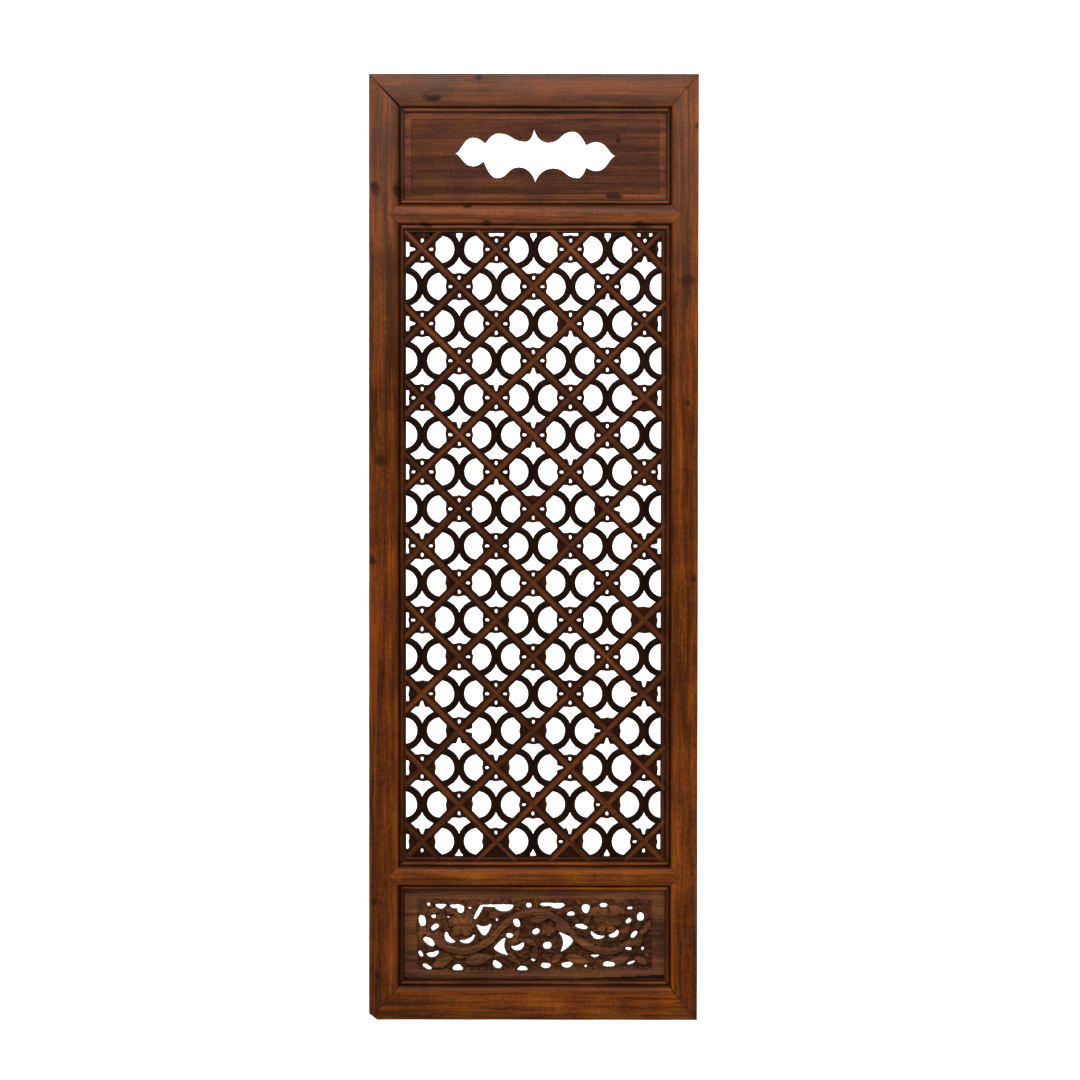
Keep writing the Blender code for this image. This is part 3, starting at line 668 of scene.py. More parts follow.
class DOORPANEL_OT_frieze_board(bpy.types.Operator):
    """Board with the pierced cartouche"""

    bl_idname = "doorpanel.frieze_board"
    bl_label = "Frieze Board"

    def execute(self, context):
        sizes = context.scene.door_boards
        back = sizes.frieze_front - sizes.frieze_thickness
        board = self.board(sizes, back)
        tool = self.cartouche(sizes, back)
        carve(board, tool)
        tone = context.scene.door_wood.board_tone
        knots = ((0.1175, -0.063, 0.010, 0.014), (0.112, -0.143, 0.024, 0.014))
        material = wood("frieze_board_wood", tone, LEVEL, 11, (0.0228, 0.0247), knots,
                        contrast=1.5, edge_shade=0.6, shine=0.05)
        complete(board, material, "board_wood", "frieze_board")
        return {"FINISHED"}

    def board(self, sizes, back):
        """A plate with a slightly raised band along its edges."""
        low = Vector((OPENING_LEFT + sizes.gap, -sizes.frieze_front, FRIEZE_BOTTOM + sizes.gap))
        high = Vector((OPENING_RIGHT - sizes.gap, -back, FRIEZE_TOP - sizes.gap))
        select_nothing()
        bpy.ops.mesh.primitive_cube_add(size=1, location=(low + high) / 2, scale=high - low)
        board = new_piece("frieze_panel")
        bpy.ops.object.transform_apply(location=True, rotation=True, scale=True)
        with editing(board):
            pick(board, "polygons", lambda face: face.normal.y < -0.9)
            bpy.ops.mesh.inset(thickness=0.0085)
            bpy.ops.mesh.inset(thickness=0.0012, depth=-0.0010)
        return board

    def cartouche(self, sizes, back):
        """The cutter, as long as the opening is from tip to tip, and uneven as cut by hand.

        Each stop is a share of the half length and half height, and says how it is passed:
        level along a crown or a dip, drawn out to a tip or a peak, or sharp at a notch.
        """
        stops = (
            (-1.00, 0.08, "tip"), (-0.77, 0.69, "level"), (-0.62, 0.46, "notch"),
            (-0.46, 0.85, "level"), (-0.12, 0.54, "level"), (-0.015, 1.00, "peak"),
            (0.16, 0.50, "level"), (0.47, 0.92, "level"), (0.63, 0.40, "notch"),
            (0.76, 0.53, "level"), (1.00, 0.00, "tip"), (0.76, -0.58, "level"),
            (0.63, -0.45, "notch"), (0.53, -0.85, "level"), (0.22, -0.48, "level"),
            (0.00, -1.00, "peak"), (-0.20, -0.44, "level"), (-0.48, -0.85, "level"),
            (-0.64, -0.22, "notch"), (-0.77, -0.41, "level"),
        )
        draw = {"level": (0.55, 0.0), "tip": (0.35, 0.02), "peak": (0.10, 0.45), "notch": (0.05, 0.05)}
        lift = 0.0012
        middle_z = (FRIEZE_TOP + FRIEZE_BOTTOM) / 2 + lift
        half_length, half_height = sizes.cartouche_length / 2, sizes.cartouche_height / 2
        corners = []
        for index, (x0, z0, kind0) in enumerate(stops):
            x1, z1, kind1 = stops[(index + 1) % len(stops)]
            reach_x, reach_z = x1 - x0, z1 - z0
            curve = ((x0, z0), (x0 + reach_x * draw[kind0][0], z0 + reach_z * draw[kind0][1]),
                     (x1 - reach_x * draw[kind1][0], z1 - reach_z * draw[kind1][1]), (x1, z1))
            for x, z in bezier(curve, 7):
                corners.append((OPENING_MIDDLE + x * half_length, 0.0, middle_z + z * half_height))
        tool = flat_shape("cartouche", corners)
        extrude(tool, FORWARD * FACE_DEPTH * 2)
        return tool


def bezier(curve, steps):
    """Points of one cubic curve, without its end."""
    points = []
    for step in range(steps):
        t = step / steps
        weights = ((1 - t) ** 3, 3 * t * (1 - t) ** 2, 3 * t * t * (1 - t), t ** 3)
        points.append(tuple(sum(w * c[axis] for w, c in zip(weights, curve)) for axis in (0, 1)))
    return points


def recess_shaded_wood(name, tone, seed):
    """The wood of what lies well behind the bars' faces, with strong painted shade on its sides and dirt
    with painted shade in its depths.
    """
    return wood(name, tone, UPRIGHT, seed, (0.0170, 0.0232),
                contrast=1.4, grain_size=0.7, edge_shade=0.95, shine=0.04)


# Length of the steps in which bars and slats are drawn out
LATTICE_STEP = 0.02

# How far behind the bars' faces, and in front of their backs, the rest of the lattice lies
ARC_INSET = (0.0022, 0.0008)
WEB_INSET = (0.0044, 0.0016)
BLOCK_INSET = (0.0030, 0.0020)


def inset_depths(sizes, inset):
    return sizes.front - inset[0], sizes.back + inset[1]


def crossing(sizes, column, row):
    return Vector((OPENING_LEFT + sizes.first_x + column * sizes.pitch, 0,
                   LATTICE_TOP - sizes.first_z - row * sizes.pitch))


def in_grid(sizes, column, row):
    return 0 <= column < sizes.columns and 0 <= row < sizes.rows


class DOORPANEL_OT_lattice_bars(bpy.types.Operator):
    """Diagonal bars of the lattice, halved into each other"""

    bl_idname = "doorpanel.lattice_bars"
    bl_label = "Lattice Bars"

    def execute(self, context):
        sizes = context.scene.door_lattice
        tone = context.scene.door_wood.lattice_tone
        for slope, name, lean, seed in ((-1, "falling", FALLING, 22), (1, "rising", RISING, 21)):
            material = wood(name + "_bar_wood", tone, lean, seed, (0.0200, 0.0262),
                            contrast=1.7, grain_size=0.7, edge_shade=0.97, shine=0.06)
            lines = self.lines(sizes, slope)
            for number, line in enumerate(lines, 1):
                bar = self.bar(sizes, "lattice_bar_%s_%02d" % (name, number), line, slope)
                weather(bar, sizes.wear, 0.03, 30 + number * slope)
                complete(bar, material, "lattice_wood", "lattice", smooth=50)
        return {"FINISHED"}

    def lines(self, sizes, slope):
        """Crossings at which a bar starts, one for each line of crossings."""
        starts = []
        for row in range(sizes.rows):
            for column in range(sizes.columns):
                before = (column - 1, row + slope)
                if (column + row) % 2 == 0 and not in_grid(sizes, *before):
                    starts.append((column, row))
        return starts

    def bar(self, sizes, name, start, slope):
        column, row = start
        count = 0
        while in_grid(sizes, column + count, row - slope * count):
            count += 1
        along = Vector((1, 0, slope)).normalized()
        across = Vector((-slope, 0, 1)).normalized()
        set_back = 0.0003 if slope > 0 else 0.0
        half, front, back = sizes.bar_width / 2, sizes.front - set_back, sizes.back
        side = [(half, back), (half, front - 0.0044), (half - 0.0006, front - 0.0034),
                (half * 0.46, front - 0.0010), (half * 0.24, front - 0.0001)]
        section = [(-reach, height) for reach, height in side] + side[::-1]
        first = crossing(sizes, column, row) - along * sizes.pitch
        length = (count + 1) * sizes.pitch * math.sqrt(2)
        bar = member(name, section, first, across, along, length, LATTICE_STEP)
        trim_to_opening(bar)
        return bar


def trim_to_opening(piece, inset=0.0006):
    """Cut off what would run past the lattice's opening."""
    left = Vector((OPENING_LEFT + inset, 0, LATTICE_TOP - inset))
    right = Vector((OPENING_RIGHT - inset, 0, LATTICE_BOTTOM + inset))
    for point, outward in ((left, LEFT), (right, RIGHT), (left, UP), (right, DOWN)):
        reach = max((vertex.co - point).dot(outward) for vertex in piece.data.vertices)
        if reach > 0:
            cut(piece, point, outward)


class DOORPANEL_OT_lattice_arcs(bpy.types.Operator):
    """Pairs of arcs, back to back, in every other cell"""

    bl_idname = "doorpanel.lattice_arcs"
    bl_label = "Lattice Arcs"

    def execute(self, context):
        sizes = context.scene.door_lattice
        tone = context.scene.door_wood.lattice_tone
        # Painted shade: the arcs get only 0.14 of the lattice's tone, so they look as dark as in shade.
        material = wood("arc_wood", shaded(tone, 0.14), UPRIGHT, 23, (0.0200, 0.0255),
                        contrast=1.5, grain_size=0.7, edge_shade=0.95, shine=0.04)
        right = self.arc_piece(sizes)
        left = copy_of(right, "left_arc", Matrix.Scale(-1, 4, RIGHT))
        for row in range(sizes.rows):
            made = []
            for column in range(sizes.columns):
                if (column + row) % 2:
                    place = Matrix.Translation(crossing(sizes, column, row))
                    made += [copy_of(right, "arc", place), copy_of(left, "arc", place)]
            arcs = join(made, "lattice_arcs_row_%02d" % (row + 1))
            weather(arcs, sizes.wear, 0.02, 60 + row)
            trim_to_opening(arcs)
            complete(arcs, material, "lattice_wood", "lattice", smooth=50)
        for pattern in (right, left):
            bpy.data.objects.remove(pattern, do_unlink=True)
        return {"FINISHED"}

    def arc_piece(self, sizes):
        """One arc about the middle of the cell's right half, its ends under the bars."""
        front, back = inset_depths(sizes, ARC_INSET)
        inner, outer = sizes.arc_inner, sizes.arc_outer
        middle_radius = (inner + outer) / 2
        lean = math.asin(sizes.pitch / 2 / middle_radius / math.sqrt(2))
        start = math.pi - math.pi / 4 - lean
        turn = 2 * (math.pi - start)
        fall = 0.0024
        section = [(inner, back), (outer, back), (outer, front - fall)]
        section += arc(middle_radius, front - fall, (outer - inner) / 2, fall, 35, 145, 4)
        section += [(inner, front - fall)]
        middle = Vector((sizes.pitch / 2, 0, 0))
        away = Vector((math.cos(start), 0, math.sin(start)))
        piece = flat_shape("right_arc", [middle + away * radius + FORWARD * height
                                         for radius, height in section])
        with editing(piece):
            bpy.ops.mesh.spin(steps=12, angle=turn, center=middle, axis=BACKWARD)
            face_outwards()
        cut(piece, Vector((-0.0003, 0, 0)), LEFT)
        return piece


class DOORPANEL_OT_lattice_webs(bpy.types.Operator):
    """Small pierced webs on the four sides of every crossing"""

    bl_idname = "doorpanel.lattice_webs"
    bl_label = "Lattice Webs"

    def execute(self, context):
        sizes = context.scene.door_lattice
        tone = context.scene.door_wood.lattice_tone
        # Painted shade: the webs get only 0.30 of the lattice's tone, as they lie behind the bars.
        material = recess_shaded_wood("web_wood", shaded(tone, 0.30, 0.10), 24)
        patterns = {kind: self.web(sizes, kind) for kind in ("whole", "broken", "filled")}
        for row in range(sizes.rows):
            made = []
            for column in range(sizes.columns):
                if (column + row) % 2:
                    continue
                for side, turn in (("E", 0), ("N", 90), ("W", 180), ("S", 270)):
                    kind = "whole"
                    if side in BROKEN_WEBS.get((column, row), ""):
                        kind = "broken"
                    if side in FILLED_WEBS.get((column, row), ""):
                        kind = "filled"
                    at = crossing(sizes, column, row)
                    reach = 1 + 0.05 * noise.noise(at * 40 + Vector((turn, 0, 0)))
                    place = (Matrix.Translation(at) @ Matrix.Rotation(math.radians(-turn), 4, "Y")
                             @ Matrix.Diagonal((reach, 1, 2 - reach, 1)))
                    made.append(copy_of(patterns[kind], "web", place))
            webs = join(made, "lattice_webs_row_%02d" % (row + 1))
            weather(webs, sizes.wear * 1.6, 0.012, 90 + row)
            trim_to_opening(webs)
            complete(webs, material, "lattice_wood", "lattice", smooth=50)
        for pattern in patterns.values():
            bpy.data.objects.remove(pattern, do_unlink=True)
        return {"FINISHED"}

    def web(self, sizes, kind):
        """A web on the +X side of a crossing: straight edges, a low lobe, and a drop-shaped hole."""
        front, back = inset_depths(sizes, WEB_INSET)
        edge, reach = sizes.web_side, sizes.hole_reach
        corner, tuck, rim, hole_round = 0.0030, 0.0042, 0.0022, 0.0022
        half_hole = sizes.hole_size / 2
        under_bar = edge - sizes.bar_width / math.sqrt(2) + tuck
        lobe = half_hole + rim
        outline = ([(corner, 0), (edge, -under_bar), (edge, -lobe)]
                   + arc(edge, 0, sizes.web_tip - edge, lobe, -75, 75, 4)
                   + [(edge, lobe), (edge, under_bar)])
        hole_start, hole_shoulder, hole_end = reach - 0.0035, reach - 0.0018, reach + 0.0031
        hole = ([(hole_start, 0), (hole_shoulder, -half_hole)]
                + arc(hole_end - hole_round, 0, hole_round, half_hole * 1.08, -90, 90, 6)
                + [(hole_shoulder, half_hole)])
        if kind == "filled":
            web = flat_shape("web_filled", [(x, -back, z) for x, z in outline])
            extrude(web, FORWARD * (front - back))
            return web
        rims = [flat_shape("web_" + kind, [(x, -back, z) for x, z in line], filled=False)
                for line in (outline, hole)]
        web = join(rims, "web_" + kind)
        with editing(web):
            bpy.ops.mesh.bridge_edge_loops()
        if kind == "broken":
            with editing(web):
                pick(web, "polygons", lambda face: face.center.x > reach + hole_round
                     and abs(face.center.z) < lobe)
                bpy.ops.mesh.delete(type="FACE")
        extrude(web, FORWARD * (front - back))
        return web


class DOORPANEL_OT_lattice_border(bpy.types.Operator):
    """Thin slats round the lattice and the small blocks that fill its border cells"""

    bl_idname = "doorpanel.lattice_border"
    bl_label = "Lattice Border"

    def execute(self, context):
        sizes = context.scene.door_lattice
        tone = context.scene.door_wood.lattice_tone
        gap = 0.0003
        left, right = OPENING_LEFT + gap, OPENING_RIGHT - gap
        top, bottom = LATTICE_TOP - gap, LATTICE_BOTTOM + gap
        slats = (
            ("left_slat", left, left + 0.0019, bottom, top, UPRIGHT),
            ("right_slat", right - 0.0061, right, bottom, top, UPRIGHT),
            ("top_slat", left, right, top - 0.0044, top, LEVEL),
            ("bottom_slat", left, right, bottom, bottom + 0.0056, LEVEL),
        )
        for number, (name, x0, x1, z0, z1, lean) in enumerate(slats):
            set_back = 0.0004 if lean else 0.0007
            slat = self.slat(name, x0, x1, z0, z1, sizes.front - set_back, sizes.back - 0.0004 * bool(lean))
            weather(slat, sizes.wear * 0.6, 0.04, 120 + number)
            material = wood(name + "_wood", shaded(tone, 0.80), lean, 25 + number, (0.020, 0.0262),
                            contrast=1.4, grain_size=0.7, edge_shade=0.9, shine=0.05)
            complete(slat, material, "lattice_wood", "lattice", smooth=50)
        blocks = join(self.blocks(sizes), "lattice_border_blocks")
        # Painted shade: the blocks get only 0.28 of the lattice's tone, as they lie behind the bars.
        material = recess_shaded_wood("block_wood", shaded(tone, 0.28, 0.1), 29)
        complete(blocks, material, "lattice_wood", "lattice", smooth=50)
        return {"FINISHED"}

    def slat(self, name, x0, x1, z0, z1, front, back):
        """A thin slat with its front edges eased."""
        level = x1 - x0 > z1 - z0
        width = z1 - z0 if level else x1 - x0
        start = Vector((x0, 0, z1)) if level else Vector((x0, 0, z0))
        across, along = (DOWN, RIGHT) if level else (RIGHT, UP)
        length = x1 - x0 if level else z1 - z0
        eased = min(0.0012, width * 0.3)
        section = [(0, back), (0, front - eased), (eased, front), (width - eased, front),
                   (width, front - eased), (width, back)]
        return member(name, section, start, across, along, length, LATTICE_STEP)

    def blocks(self, sizes):
        """Blocks that leave only a slot, a small square or nothing open at the border."""
        front, back = inset_depths(sizes, BLOCK_INSET)
        reach = sizes.pitch / 2 + 0.0015
        last_column, last_row = sizes.columns - 1, sizes.rows - 1
        slot_half, slot_start = 0.0105, 0.0135
        slot_corner = ((reach, slot_half), (slot_start, slot_half), (slot_start, slot_start),
                       (reach, reach))
        made = []

        def add(column, row, outline):
            at = crossing(sizes, column, row)
            block = flat_shape("block", [(at.x + x, -back, at.z + z) for x, z in outline])
            extrude(block, FORWARD * (front - back))
            trim_to_opening(block)
            made.append(block)

        def add_plate(column, half, low, high):
            add(column, 0, [(-half, low), (half, low), (half, high), (-half, high)])

        for row in range(0, sizes.rows, 2):
            for column, side in ((0, -1), (last_column, 1)):
                for rise in (1, -1):
                    add(column, row, [(side * x, rise * z) for x, z in slot_corner])
        add_plate(0, reach, 0.0160, reach)
        for column, half, high in ((2, 0.0050, 0.0178), (4, 0.0098, 0.0170), (6, 0.0062, 0.0230)):
            add_plate(column, half, 0.0150, high)
        foot = [(-0.013, -0.0165), (0.013, -0.0165), (0.0200, -reach), (-0.0200, -reach)]
        for column in range(0, sizes.columns, 2):
            for side in (-1, 1):
                add(column, 0, [(side * z, x) for x, z in slot_corner])
            add(column, last_row, foot)
        for column in range(1, sizes.columns, 2):
            for side in (-1, 1):
                for row, rise, half in ((0, 1, 0.0042), (last_row, -1, 0.0054 if column == 1 else 0.0036)):
                    wedge = ((half, 0.0125), (0.0085, 0.0125), (0.0160, 0.0215), (0.0160, reach),
                             (half, reach))
                    add(column, row, [(side * x, rise * z) for x, z in wedge])
        return made


# Openings of the carved board in millimetres from its middle: x, z, width, height, then how
# far each is turned, how much its ends bend upwards and how much its upper side is wider
PIERCINGS = (
    (-149, 42, 6, 7, 0, 0, 0), (-132, 39, 15, 9, 0, 0, 0.55), (-111, 39, 17, 8, 0, 0, 0.2),
    (-104, 35, 11, 13, 0, 0, 0.1), (-91, 37, 6, 5, 0, 0, 0), (-53, 40, 50, 6, 0, 0, 0),
    (-43, 36, 25, 10, 0, 0, 0.35), (-79, 31, 25, 7, 61, 0, 0), (-8, 41, 9, 9, 0, 0, 0),
    (-158, 19, 11, 18, 8, 0, 0), (-142, 25, 8, 8, 0, 0, 0), (-140, 10, 14, 9, 38, -0.1, 0),
    (-121, 24, 6, 4, 0, 0, 0), (-120, -6, 21, 9, -48, 0.5, 0), (-94, -8, 24, 8, 22, 0.5, 0),
    (-148, -10, 19, 12, -38, 0, -0.2), (-160, -28, 11, 7, -62, 0, 0),
    (-143, -28, 19, 9, 14, 0.35, 0), (-151, -46, 15, 8, -30, 0, 0),
    (-108, -47, 15, 11, 0, 0, -0.35), (-71, 6, 19, 15, 2, 0.45, 0.6), (-53, 20, 4, 6, 0, 0, 0),
    (-25, 16, 10, 15, 22, 0, 0.15), (2, 4, 12, 10, 34, 0, 0), (-35, -2, 11, 9, 0, 0, 0.1),
    (-48, -19, 22, 16, -80, 0.45, 0.65), (-23, -18, 20, 10, 18, 0.35, 0.15),
    (-53, -43, 15, 11, -42, 0, 0.3), (-17, -48, 15, 9, 0, 0, -0.45), (-2, -36, 8, 6, -15, 0, 0),
    (19, 42, 24, 7, 0, 0, 0), (32, 40, 21, 10, 0, 0, 0.3), (51, 29, 12, 8, 0, 0, -0.2),
    (72, 36, 12, 15, 0, 0, 0.25), (97, 41, 12, 8, 0, 0, 0), (134, 37, 9, 6, 0, 0, 0),
    (149, 25, 11, 14, 0, 0, -0.1), (132, 19, 10, 8, 45, 0, 0), (140, 0, 14, 8, 52, 0, 0),
    (112, 0, 17, 9, 32, 0.3, 0), (88, -2, 22, 8, -20, 0.55, 0), (66, 11, 19, 9, -14, 0, 0),
    (45, -10, 25, 15, -85, -0.45, -0.65), (18, -16, 13, 12, 0, 0, 0), (132, -20, 11, 7, -12, 0, 0),
    (152, -20, 5, 7, 0, 0, 0), (85, -31, 12, 6, 0, 0, 0.7), (16, -44, 15, 10, 0, 0, 0),
    (46, -43, 17, 10, 4, 0.2, 0), (72, -45, 5, 6, 0, 0, 0), (105, -42, 18, 10, 0, 0, -0.15),
    (136, -40, 13, 6, 25, 0, 0),
)

# Leaves of the carved board in millimetres from its middle: x, z, length, width and turn
LEAVES = (
    (-52, 30, 30, 13, 20), (-28, -4, 30, 13, 62), (-78, -34, 44, 17, 12), (-32, -32, 26, 12, -28),
    (-134, 0, 30, 12, -52), (-128, -38, 34, 15, 24), (-140, 34, 26, 11, 28), (-118, 34, 18, 9, -30),
    (38, 8, 30, 13, -58), (60, -34, 36, 16, -14), (84, 34, 24, 12, 35), (116, 36, 28, 13, -25),
    (126, 4, 30, 13, 58), (118, -36, 34, 15, 20), (148, -4, 28, 12, 72), (150, -36, 22, 12, -30),
    (0, -26, 26, 12, 80), (32, -32, 24, 11, 40), (6, 22, 26, 12, 8), (58, 20, 22, 10, -50),
    (-160, 2, 24, 10, 80), (-84, 22, 24, 11, 58), (-6, -10, 20, 10, -20), (74, 22, 20, 10, 60),
)


# Flower heads and seed head in millimetres from its middle: x, z and radius, then petals
FLOWERS = ((-100.9, 17.0, 20.5, 6), (102.5, 20.8, 21.0, 6), (19.0, 8.0, 12.5, 5))

# Other measures of the carving in millimetres. NOWHERE is a depth or a height below all others
PIERCING_RIM = 0.8
VINE_WAVE, VINE_SWING, VINE_MIDDLE, VINE_HALF, VINE_REACH = 203, 27.5, 5.2, 5.6, 163
FIELD_HALF_X, FIELD_HALF_Z, LOWER_EDGE, HIGHEST = 166, 51, -62.7, 5.6
NOWHERE = -9.0


def turned(x, z, degrees):
    """x and z seen from a frame turned by so many degrees."""
    angle = math.radians(degrees)
    return x * math.cos(angle) + z * math.sin(angle), z * math.cos(angle) - x * math.sin(angle)


def opening_depth(x, z):
    """How far inside an opening a place is, in millimetres; below zero on the wood."""
    deepest = NOWHERE
    for middle_x, middle_z, width, height, turn, bend, taper in PIERCINGS:
        if abs(x - middle_x) > width - NOWHERE or abs(z - middle_z) > width - NOWHERE:
            continue
        along, across = turned(x - middle_x, z - middle_z, turn)
        along, across = along / (width / 2 - PIERCING_RIM), across / (height / 2 - PIERCING_RIM)
        across -= bend * width / height * (along * along - 0.4)
        along /= max(0.2, 1 + taper * across)
        reach = (abs(along) ** 2.5 + abs(across) ** 2.5) ** 0.4
        deepest = max(deepest, (1 - reach) * min(width, height) / 2)
    return deepest


def vine_height(x, z):
    """The scrolling stem: a round swelling along a wave."""
    turn = 2 * math.pi * x / VINE_WAVE
    wave = math.copysign(abs(math.cos(turn)) ** 0.8, math.cos(turn))
    slope = VINE_SWING * 2 * math.pi / VINE_WAVE * math.sin(turn)
    away = abs(z - VINE_MIDDLE - VINE_SWING * wave) / math.sqrt(1 + slope * slope) / VINE_HALF
    if away >= 1 or abs(x) >= VINE_REACH:
        return NOWHERE
    strands = 0.5 * math.cos(away * 7)
    return 3.6 * math.sqrt(1 - away * away) + strands


def flower_height(x, z):
    """Two petalled heads below the crests of the vine, and the seed head between them."""
    highest = NOWHERE
    for middle_x, middle_z, radius, petals in FLOWERS:
        away = math.hypot(x - middle_x, z - middle_z)
        if away > radius:
            continue
        angle = math.atan2(z - middle_z, x - middle_x)
        petal = abs(math.cos(angle * petals / 2 + 0.4))
        share = away / (radius * (0.80 + 0.20 * petal))
        if share < 1:
            dome = 5.0 * (1 - share ** 3) - 1.9 * (1 - petal) ** 4 * min(1, share * 2)
            ring = 1.6 * math.exp(-((share - 0.34) / 0.09) ** 2)
            highest = max(highest, dome - ring)
    return highest


def leaf_height(x, z):
    """Pointed leaves with a midrib and side veins."""
    highest = NOWHERE
    for middle_x, middle_z, length, width, turn in LEAVES:
        along, across = turned(x - middle_x, z - middle_z, turn)
        share = along / (length / 2)
        if abs(share) >= 1:
            continue
        half = width / 2 * (1 - share * share) ** 0.8 * (1 - 0.25 * share)
        if abs(across) < half:
            swell = 3.3 * math.sqrt(1 - (across / half) ** 2)
            rib = 1.3 * math.exp(-(across / 0.9) ** 2)
            vein = 0.35 * math.cos((along - abs(across)) * 1.9)
            highest = max(highest, swell - rib + vein)
    return highest


def carving_height(x, z):
    """Height of the carving over the board's face, in millimetres, from the board's middle."""
    inside = min(FIELD_HALF_X - abs(x), FIELD_HALF_Z - abs(z)) / 2.5
    inside = min(1, max(0, inside))
    crease = noise.noise(Vector((x / 10, z / 8.5, 3.1)))
    fleck = noise.noise(Vector((x / 3.6, z / 3.0, 8.7)))
    scroll = -3.4 + 4.6 * max(0, 1 - abs(crease) * 3.4) ** 1.5 + 1.2 * fleck
    highest = max(scroll, vine_height(x, z), flower_height(x, z), leaf_height(x, z))
    height = inside * (highest + 0.7 * fleck + 1.0)
    loose = 5.5 * min(1, max(0, (x - 15) / 150)) ** 1.6
    if z < LOWER_EDGE + loose:
        height = -6.5
    return min(height, HIGHEST) + 0.25 * noise.noise(Vector((x / 18, z / 7, 1.3)))


class DOORPANEL_OT_carved_board(bpy.types.Operator):
    """Pierced and carved lower board"""

    bl_idname = "doorpanel.carved_board"
    bl_label = "Carved Board"

    columns = 336
    rows = 116
    edge_zone = 1.6
    edge_shift = 0.72

    def execute(self, context):
        sizes = context.scene.door_boards
        left, right = OPENING_LEFT + sizes.gap, OPENING_RIGHT - sizes.gap
        bottom, top = CARVED_BOTTOM + sizes.gap, CARVED_TOP - sizes.gap
        select_nothing()
        bpy.ops.mesh.primitive_grid_add(x_subdivisions=self.columns, y_subdivisions=self.rows, size=1)
        board = new_piece("carved_panel")
        middle_x, middle_z = OPENING_MIDDLE, (CARVED_TOP + CARVED_BOTTOM) / 2
        depths = []
        for vertex in board.data.vertices:
            x = left + (vertex.co.x + 0.5) * (right - left)
            z = bottom + (vertex.co.y + 0.5) * (top - bottom)
            x_mm, z_mm = (x - middle_x) * 1000, (z - middle_z) * 1000
            depth = opening_depth(x_mm, z_mm)
            if abs(depth) < self.edge_zone:
                x_mm, z_mm, depth = self.to_edge(x_mm, z_mm, depth)
            depths.append(depth)
            rim = 2.4 * max(0, 1 - abs(depth) / 2.2) ** 2
            height = (carving_height(x_mm, z_mm) - rim) / 1000
            vertex.co = (middle_x + x_mm / 1000, -sizes.carved_front - height, middle_z + z_mm / 1000)
        self.pierce(board, depths)
        back = sizes.carved_front - sizes.carved_thickness
        extrude(board, BACKWARD * 0.2)
        for vertex in board.data.vertices:
            if vertex.co.y > 0.1:
                vertex.co.y = -back
        tone = context.scene.door_wood.carved_tone
        # Dirt and painted shade darken the carving's ground and hollows, across the whole depth of the
        # relief.
        material = wood("carved_board_wood", tone, LEVEL, 12, (0.0160, 0.0292),
                        contrast=1.7, grain_size=0.8)
        complete(board, material, "carved_wood", "carved_board", smooth=50)
        return {"FINISHED"}

    def to_edge(self, x, z, depth):
        """Move a place that lies close to the edge of an opening onto that edge."""
        step = 0.2
        slope_x = (opening_depth(x + step, z) - depth) / step
        slope_z = (opening_depth(x, z + step) - depth) / step
        steep = slope_x ** 2 + slope_z ** 2
        if steep < 0.05:
            return x, z, depth
        move_x, move_z = -depth * slope_x / steep, -depth * slope_z / steep
        if math.hypot(move_x, move_z) > self.edge_shift:
            return x, z, depth
        return x + move_x, z + move_z, 0.0

    def pierce(self, board, depths):
        """Take out the faces inside openings, and leave none that touch by a corner alone."""
        across, up = self.columns, self.rows
        kept = [sum(depths[index] for index in face.vertices) < 0.02 for face in board.data.polygons]
        changed = True
        while changed:
            changed = False
            for row in range(up - 1):
                for column in range(across - 1):
                    low = row * across + column
                    high = low + across
                    if kept[low] == kept[high + 1] != kept[low + 1] == kept[high]:
                        kept[low:low + 2] = kept[high:high + 2] = [False, False]
                        changed = True
        with editing(board):
            pick(board, "polygons", lambda face: not kept[face.index])
            bpy.ops.mesh.delete(type="FACE")


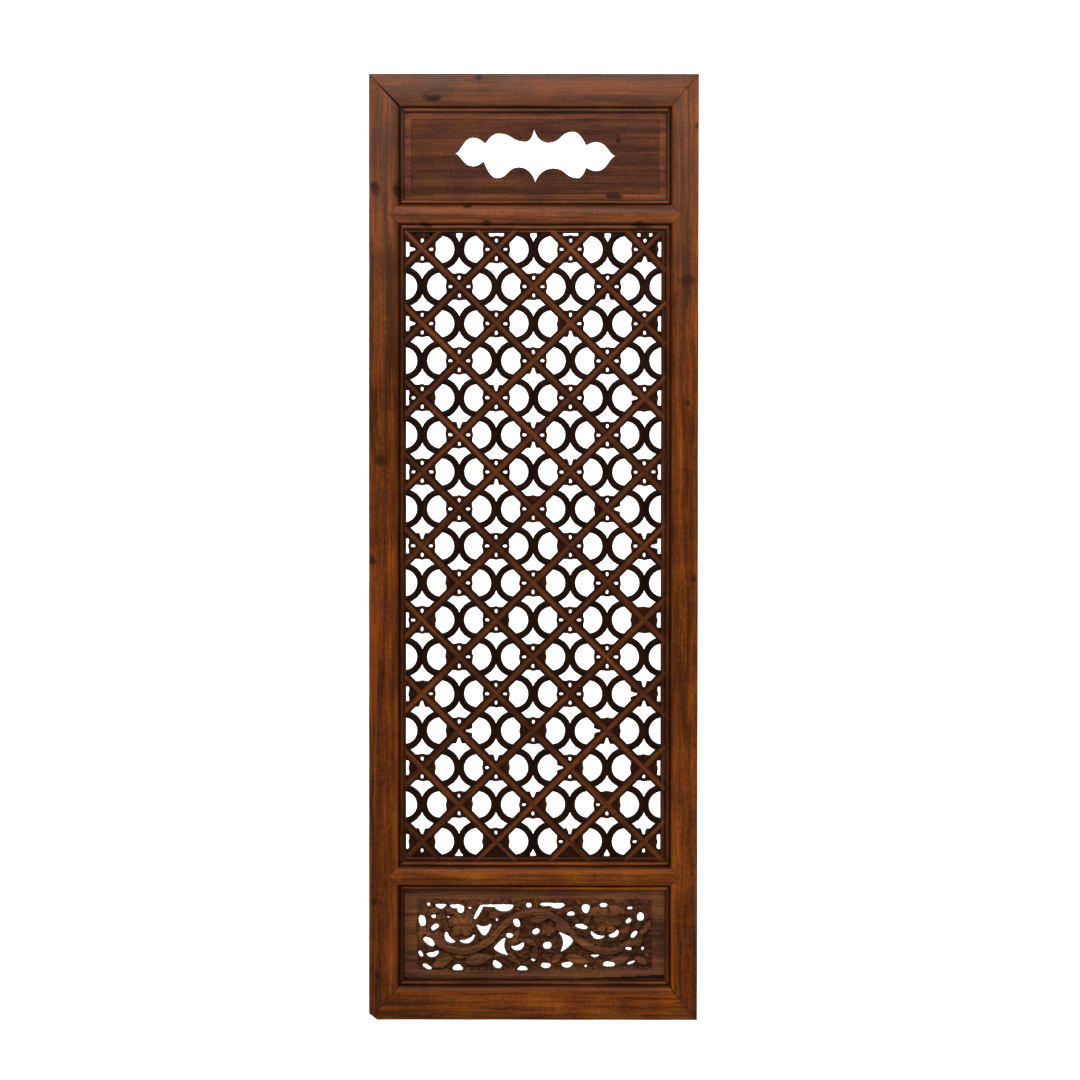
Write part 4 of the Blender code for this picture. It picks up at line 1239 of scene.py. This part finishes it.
class DOORPANEL_OT_stage(bpy.types.Operator):
    """White sweep, soft lights and the camera"""

    bl_idname = "doorpanel.stage"
    bl_label = "Stage"

    def execute(self, context):
        sizes = context.scene.door_stage
        self.sweep(sizes)
        self.softbox("key_light", Vector((-0.15, -2.6, 1.0)), (1.8, 0.9), sizes.key_power)
        for name, side in (("left_fill", -1), ("right_fill", 1)):
            fill = self.softbox(name, Vector((side * 2.8, -2.2, -0.9)), (1.2, 2.2), sizes.fill_power)
            fill.visible_glossy = False
        self.world(sizes)
        self.camera(context, sizes)
        context.scene.view_settings.view_transform = "Standard"
        return {"FINISHED"}

    def sweep(self, sizes):
        """Floor and upright in one sheet, with a rounded turn between them."""
        floor = BOTTOM - sizes.drop
        sheet, height, turn = 40, 6, 1.5
        select_nothing()
        bpy.ops.mesh.primitive_plane_add(size=sheet, location=(0, sizes.behind - sheet / 2, floor))
        sweep = new_piece("sweep")
        bpy.ops.object.transform_apply(location=True, rotation=True, scale=True)

        def at_turn(edge):
            ends = [sweep.data.vertices[index].co for index in edge.vertices]
            return all(end.y > sizes.behind - 0.01 and end.z < floor + 0.01 for end in ends)

        with editing(sweep):
            pick(sweep, "edges", at_turn)
            bpy.ops.mesh.extrude_region_move(TRANSFORM_OT_translate={"value": UP * height})
            pick(sweep, "edges", at_turn)
            bpy.ops.mesh.bevel(offset=turn, segments=16)
        select_only(sweep)
        bpy.ops.object.shade_smooth()
        finish = Finish("white_sweep")
        place = finish.node("ShaderNodeTexCoord", {}, {}, "Object")
        depth = finish.node("ShaderNodeSeparateXYZ", {}, {"Vector": place}, "Y")
        near = depth.smoothly(0.0, 0.9)
        far = (depth * -1.0).smoothly(1.2, 4.0) * 0.5
        glow = finish.mix(near + far, (0, 0, 0, 1), (1, 1, 0.995, 1))
        shader = finish.node("ShaderNodeBsdfPrincipled", {}, {
            "Base Color": (0.9, 0.9, 0.89, 1), "Roughness": 0.9, "Specular IOR Level": 0.1,
            "Emission Color": glow, "Emission Strength": sizes.glow})
        finish.node("ShaderNodeOutputMaterial", {}, {"Surface": shader})
        sweep.data.materials.append(finish.material)

    def softbox(self, name, place, size, power):
        select_nothing()
        bpy.ops.object.light_add(type="AREA", location=place)
        light = bpy.context.active_object
        light.name = name
        light.data.shape = "RECTANGLE"
        light.data.size, light.data.size_y = size
        light.data.energy = power
        light.rotation_euler = (PANEL_MIDDLE - place).to_track_quat("-Z", "Y").to_euler()
        return light

    def world(self, sizes):
        world = bpy.data.worlds.new("soft_room")
        bpy.context.scene.world = world
        world.use_nodes = True
        background = world.node_tree.nodes["Background"]
        background.inputs["Color"].default_value = (1.0, 0.99, 0.97, 1)
        background.inputs["Strength"].default_value = sizes.room

    def camera(self, context, sizes):
        place = Vector((sizes.camera_x, -FACE_DEPTH - sizes.distance, sizes.camera_z))
        select_nothing()
        bpy.ops.object.camera_add(location=place)
        camera = bpy.context.active_object
        camera.name = "camera"
        camera.rotation_euler = (Matrix.Rotation(math.pi / 2 - sizes.pitch, 4, "X")
                                 @ Matrix.Rotation(sizes.roll, 4, "Z")).to_euler()
        camera.data.lens = sizes.lens
        camera.data.sensor_width = 36
        camera.data.sensor_fit = "HORIZONTAL"
        camera.data.clip_end = 50
        context.scene.camera = camera


class DOORPANEL_PT_sidebar(bpy.types.Panel):
    """Door panel tools"""

    bl_label = "Door Panel"
    bl_idname = "DOORPANEL_PT_sidebar"
    bl_space_type = "VIEW_3D"
    bl_region_type = "UI"
    bl_category = "Door Panel"

    def draw(self, context):
        for operator in OPERATORS:
            self.layout.operator(operator.bl_idname)


OPERATORS = (
    DOORPANEL_OT_frame, DOORPANEL_OT_frieze_board, DOORPANEL_OT_lattice_bars,
    DOORPANEL_OT_lattice_arcs, DOORPANEL_OT_lattice_webs, DOORPANEL_OT_lattice_border,
    DOORPANEL_OT_carved_board, DOORPANEL_OT_stage,
)
GROUPS = {
    "door_frame": DOORPANEL_PG_frame, "door_lattice": DOORPANEL_PG_lattice,
    "door_boards": DOORPANEL_PG_boards, "door_wood": DOORPANEL_PG_wood,
    "door_stage": DOORPANEL_PG_stage,
}


def register():
    for group in GROUPS.values():
        bpy.utils.register_class(group)
    for name, group in GROUPS.items():
        setattr(bpy.types.Scene, name, PointerProperty(type=group))
    for operator in OPERATORS:
        bpy.utils.register_class(operator)
    bpy.utils.register_class(DOORPANEL_PT_sidebar)


def unregister():
    bpy.utils.unregister_class(DOORPANEL_PT_sidebar)
    for operator in reversed(OPERATORS):
        bpy.utils.unregister_class(operator)
    for name, group in reversed(GROUPS.items()):
        delattr(bpy.types.Scene, name)
        bpy.utils.unregister_class(group)


def main():
    register()
    bpy.ops.doorpanel.frame()
    bpy.ops.doorpanel.frieze_board()
    bpy.ops.doorpanel.lattice_bars()
    bpy.ops.doorpanel.lattice_arcs()
    bpy.ops.doorpanel.lattice_webs()
    bpy.ops.doorpanel.lattice_border()
    bpy.ops.doorpanel.carved_board()
    bpy.ops.doorpanel.stage()


if __name__ == "__main__":
    main()
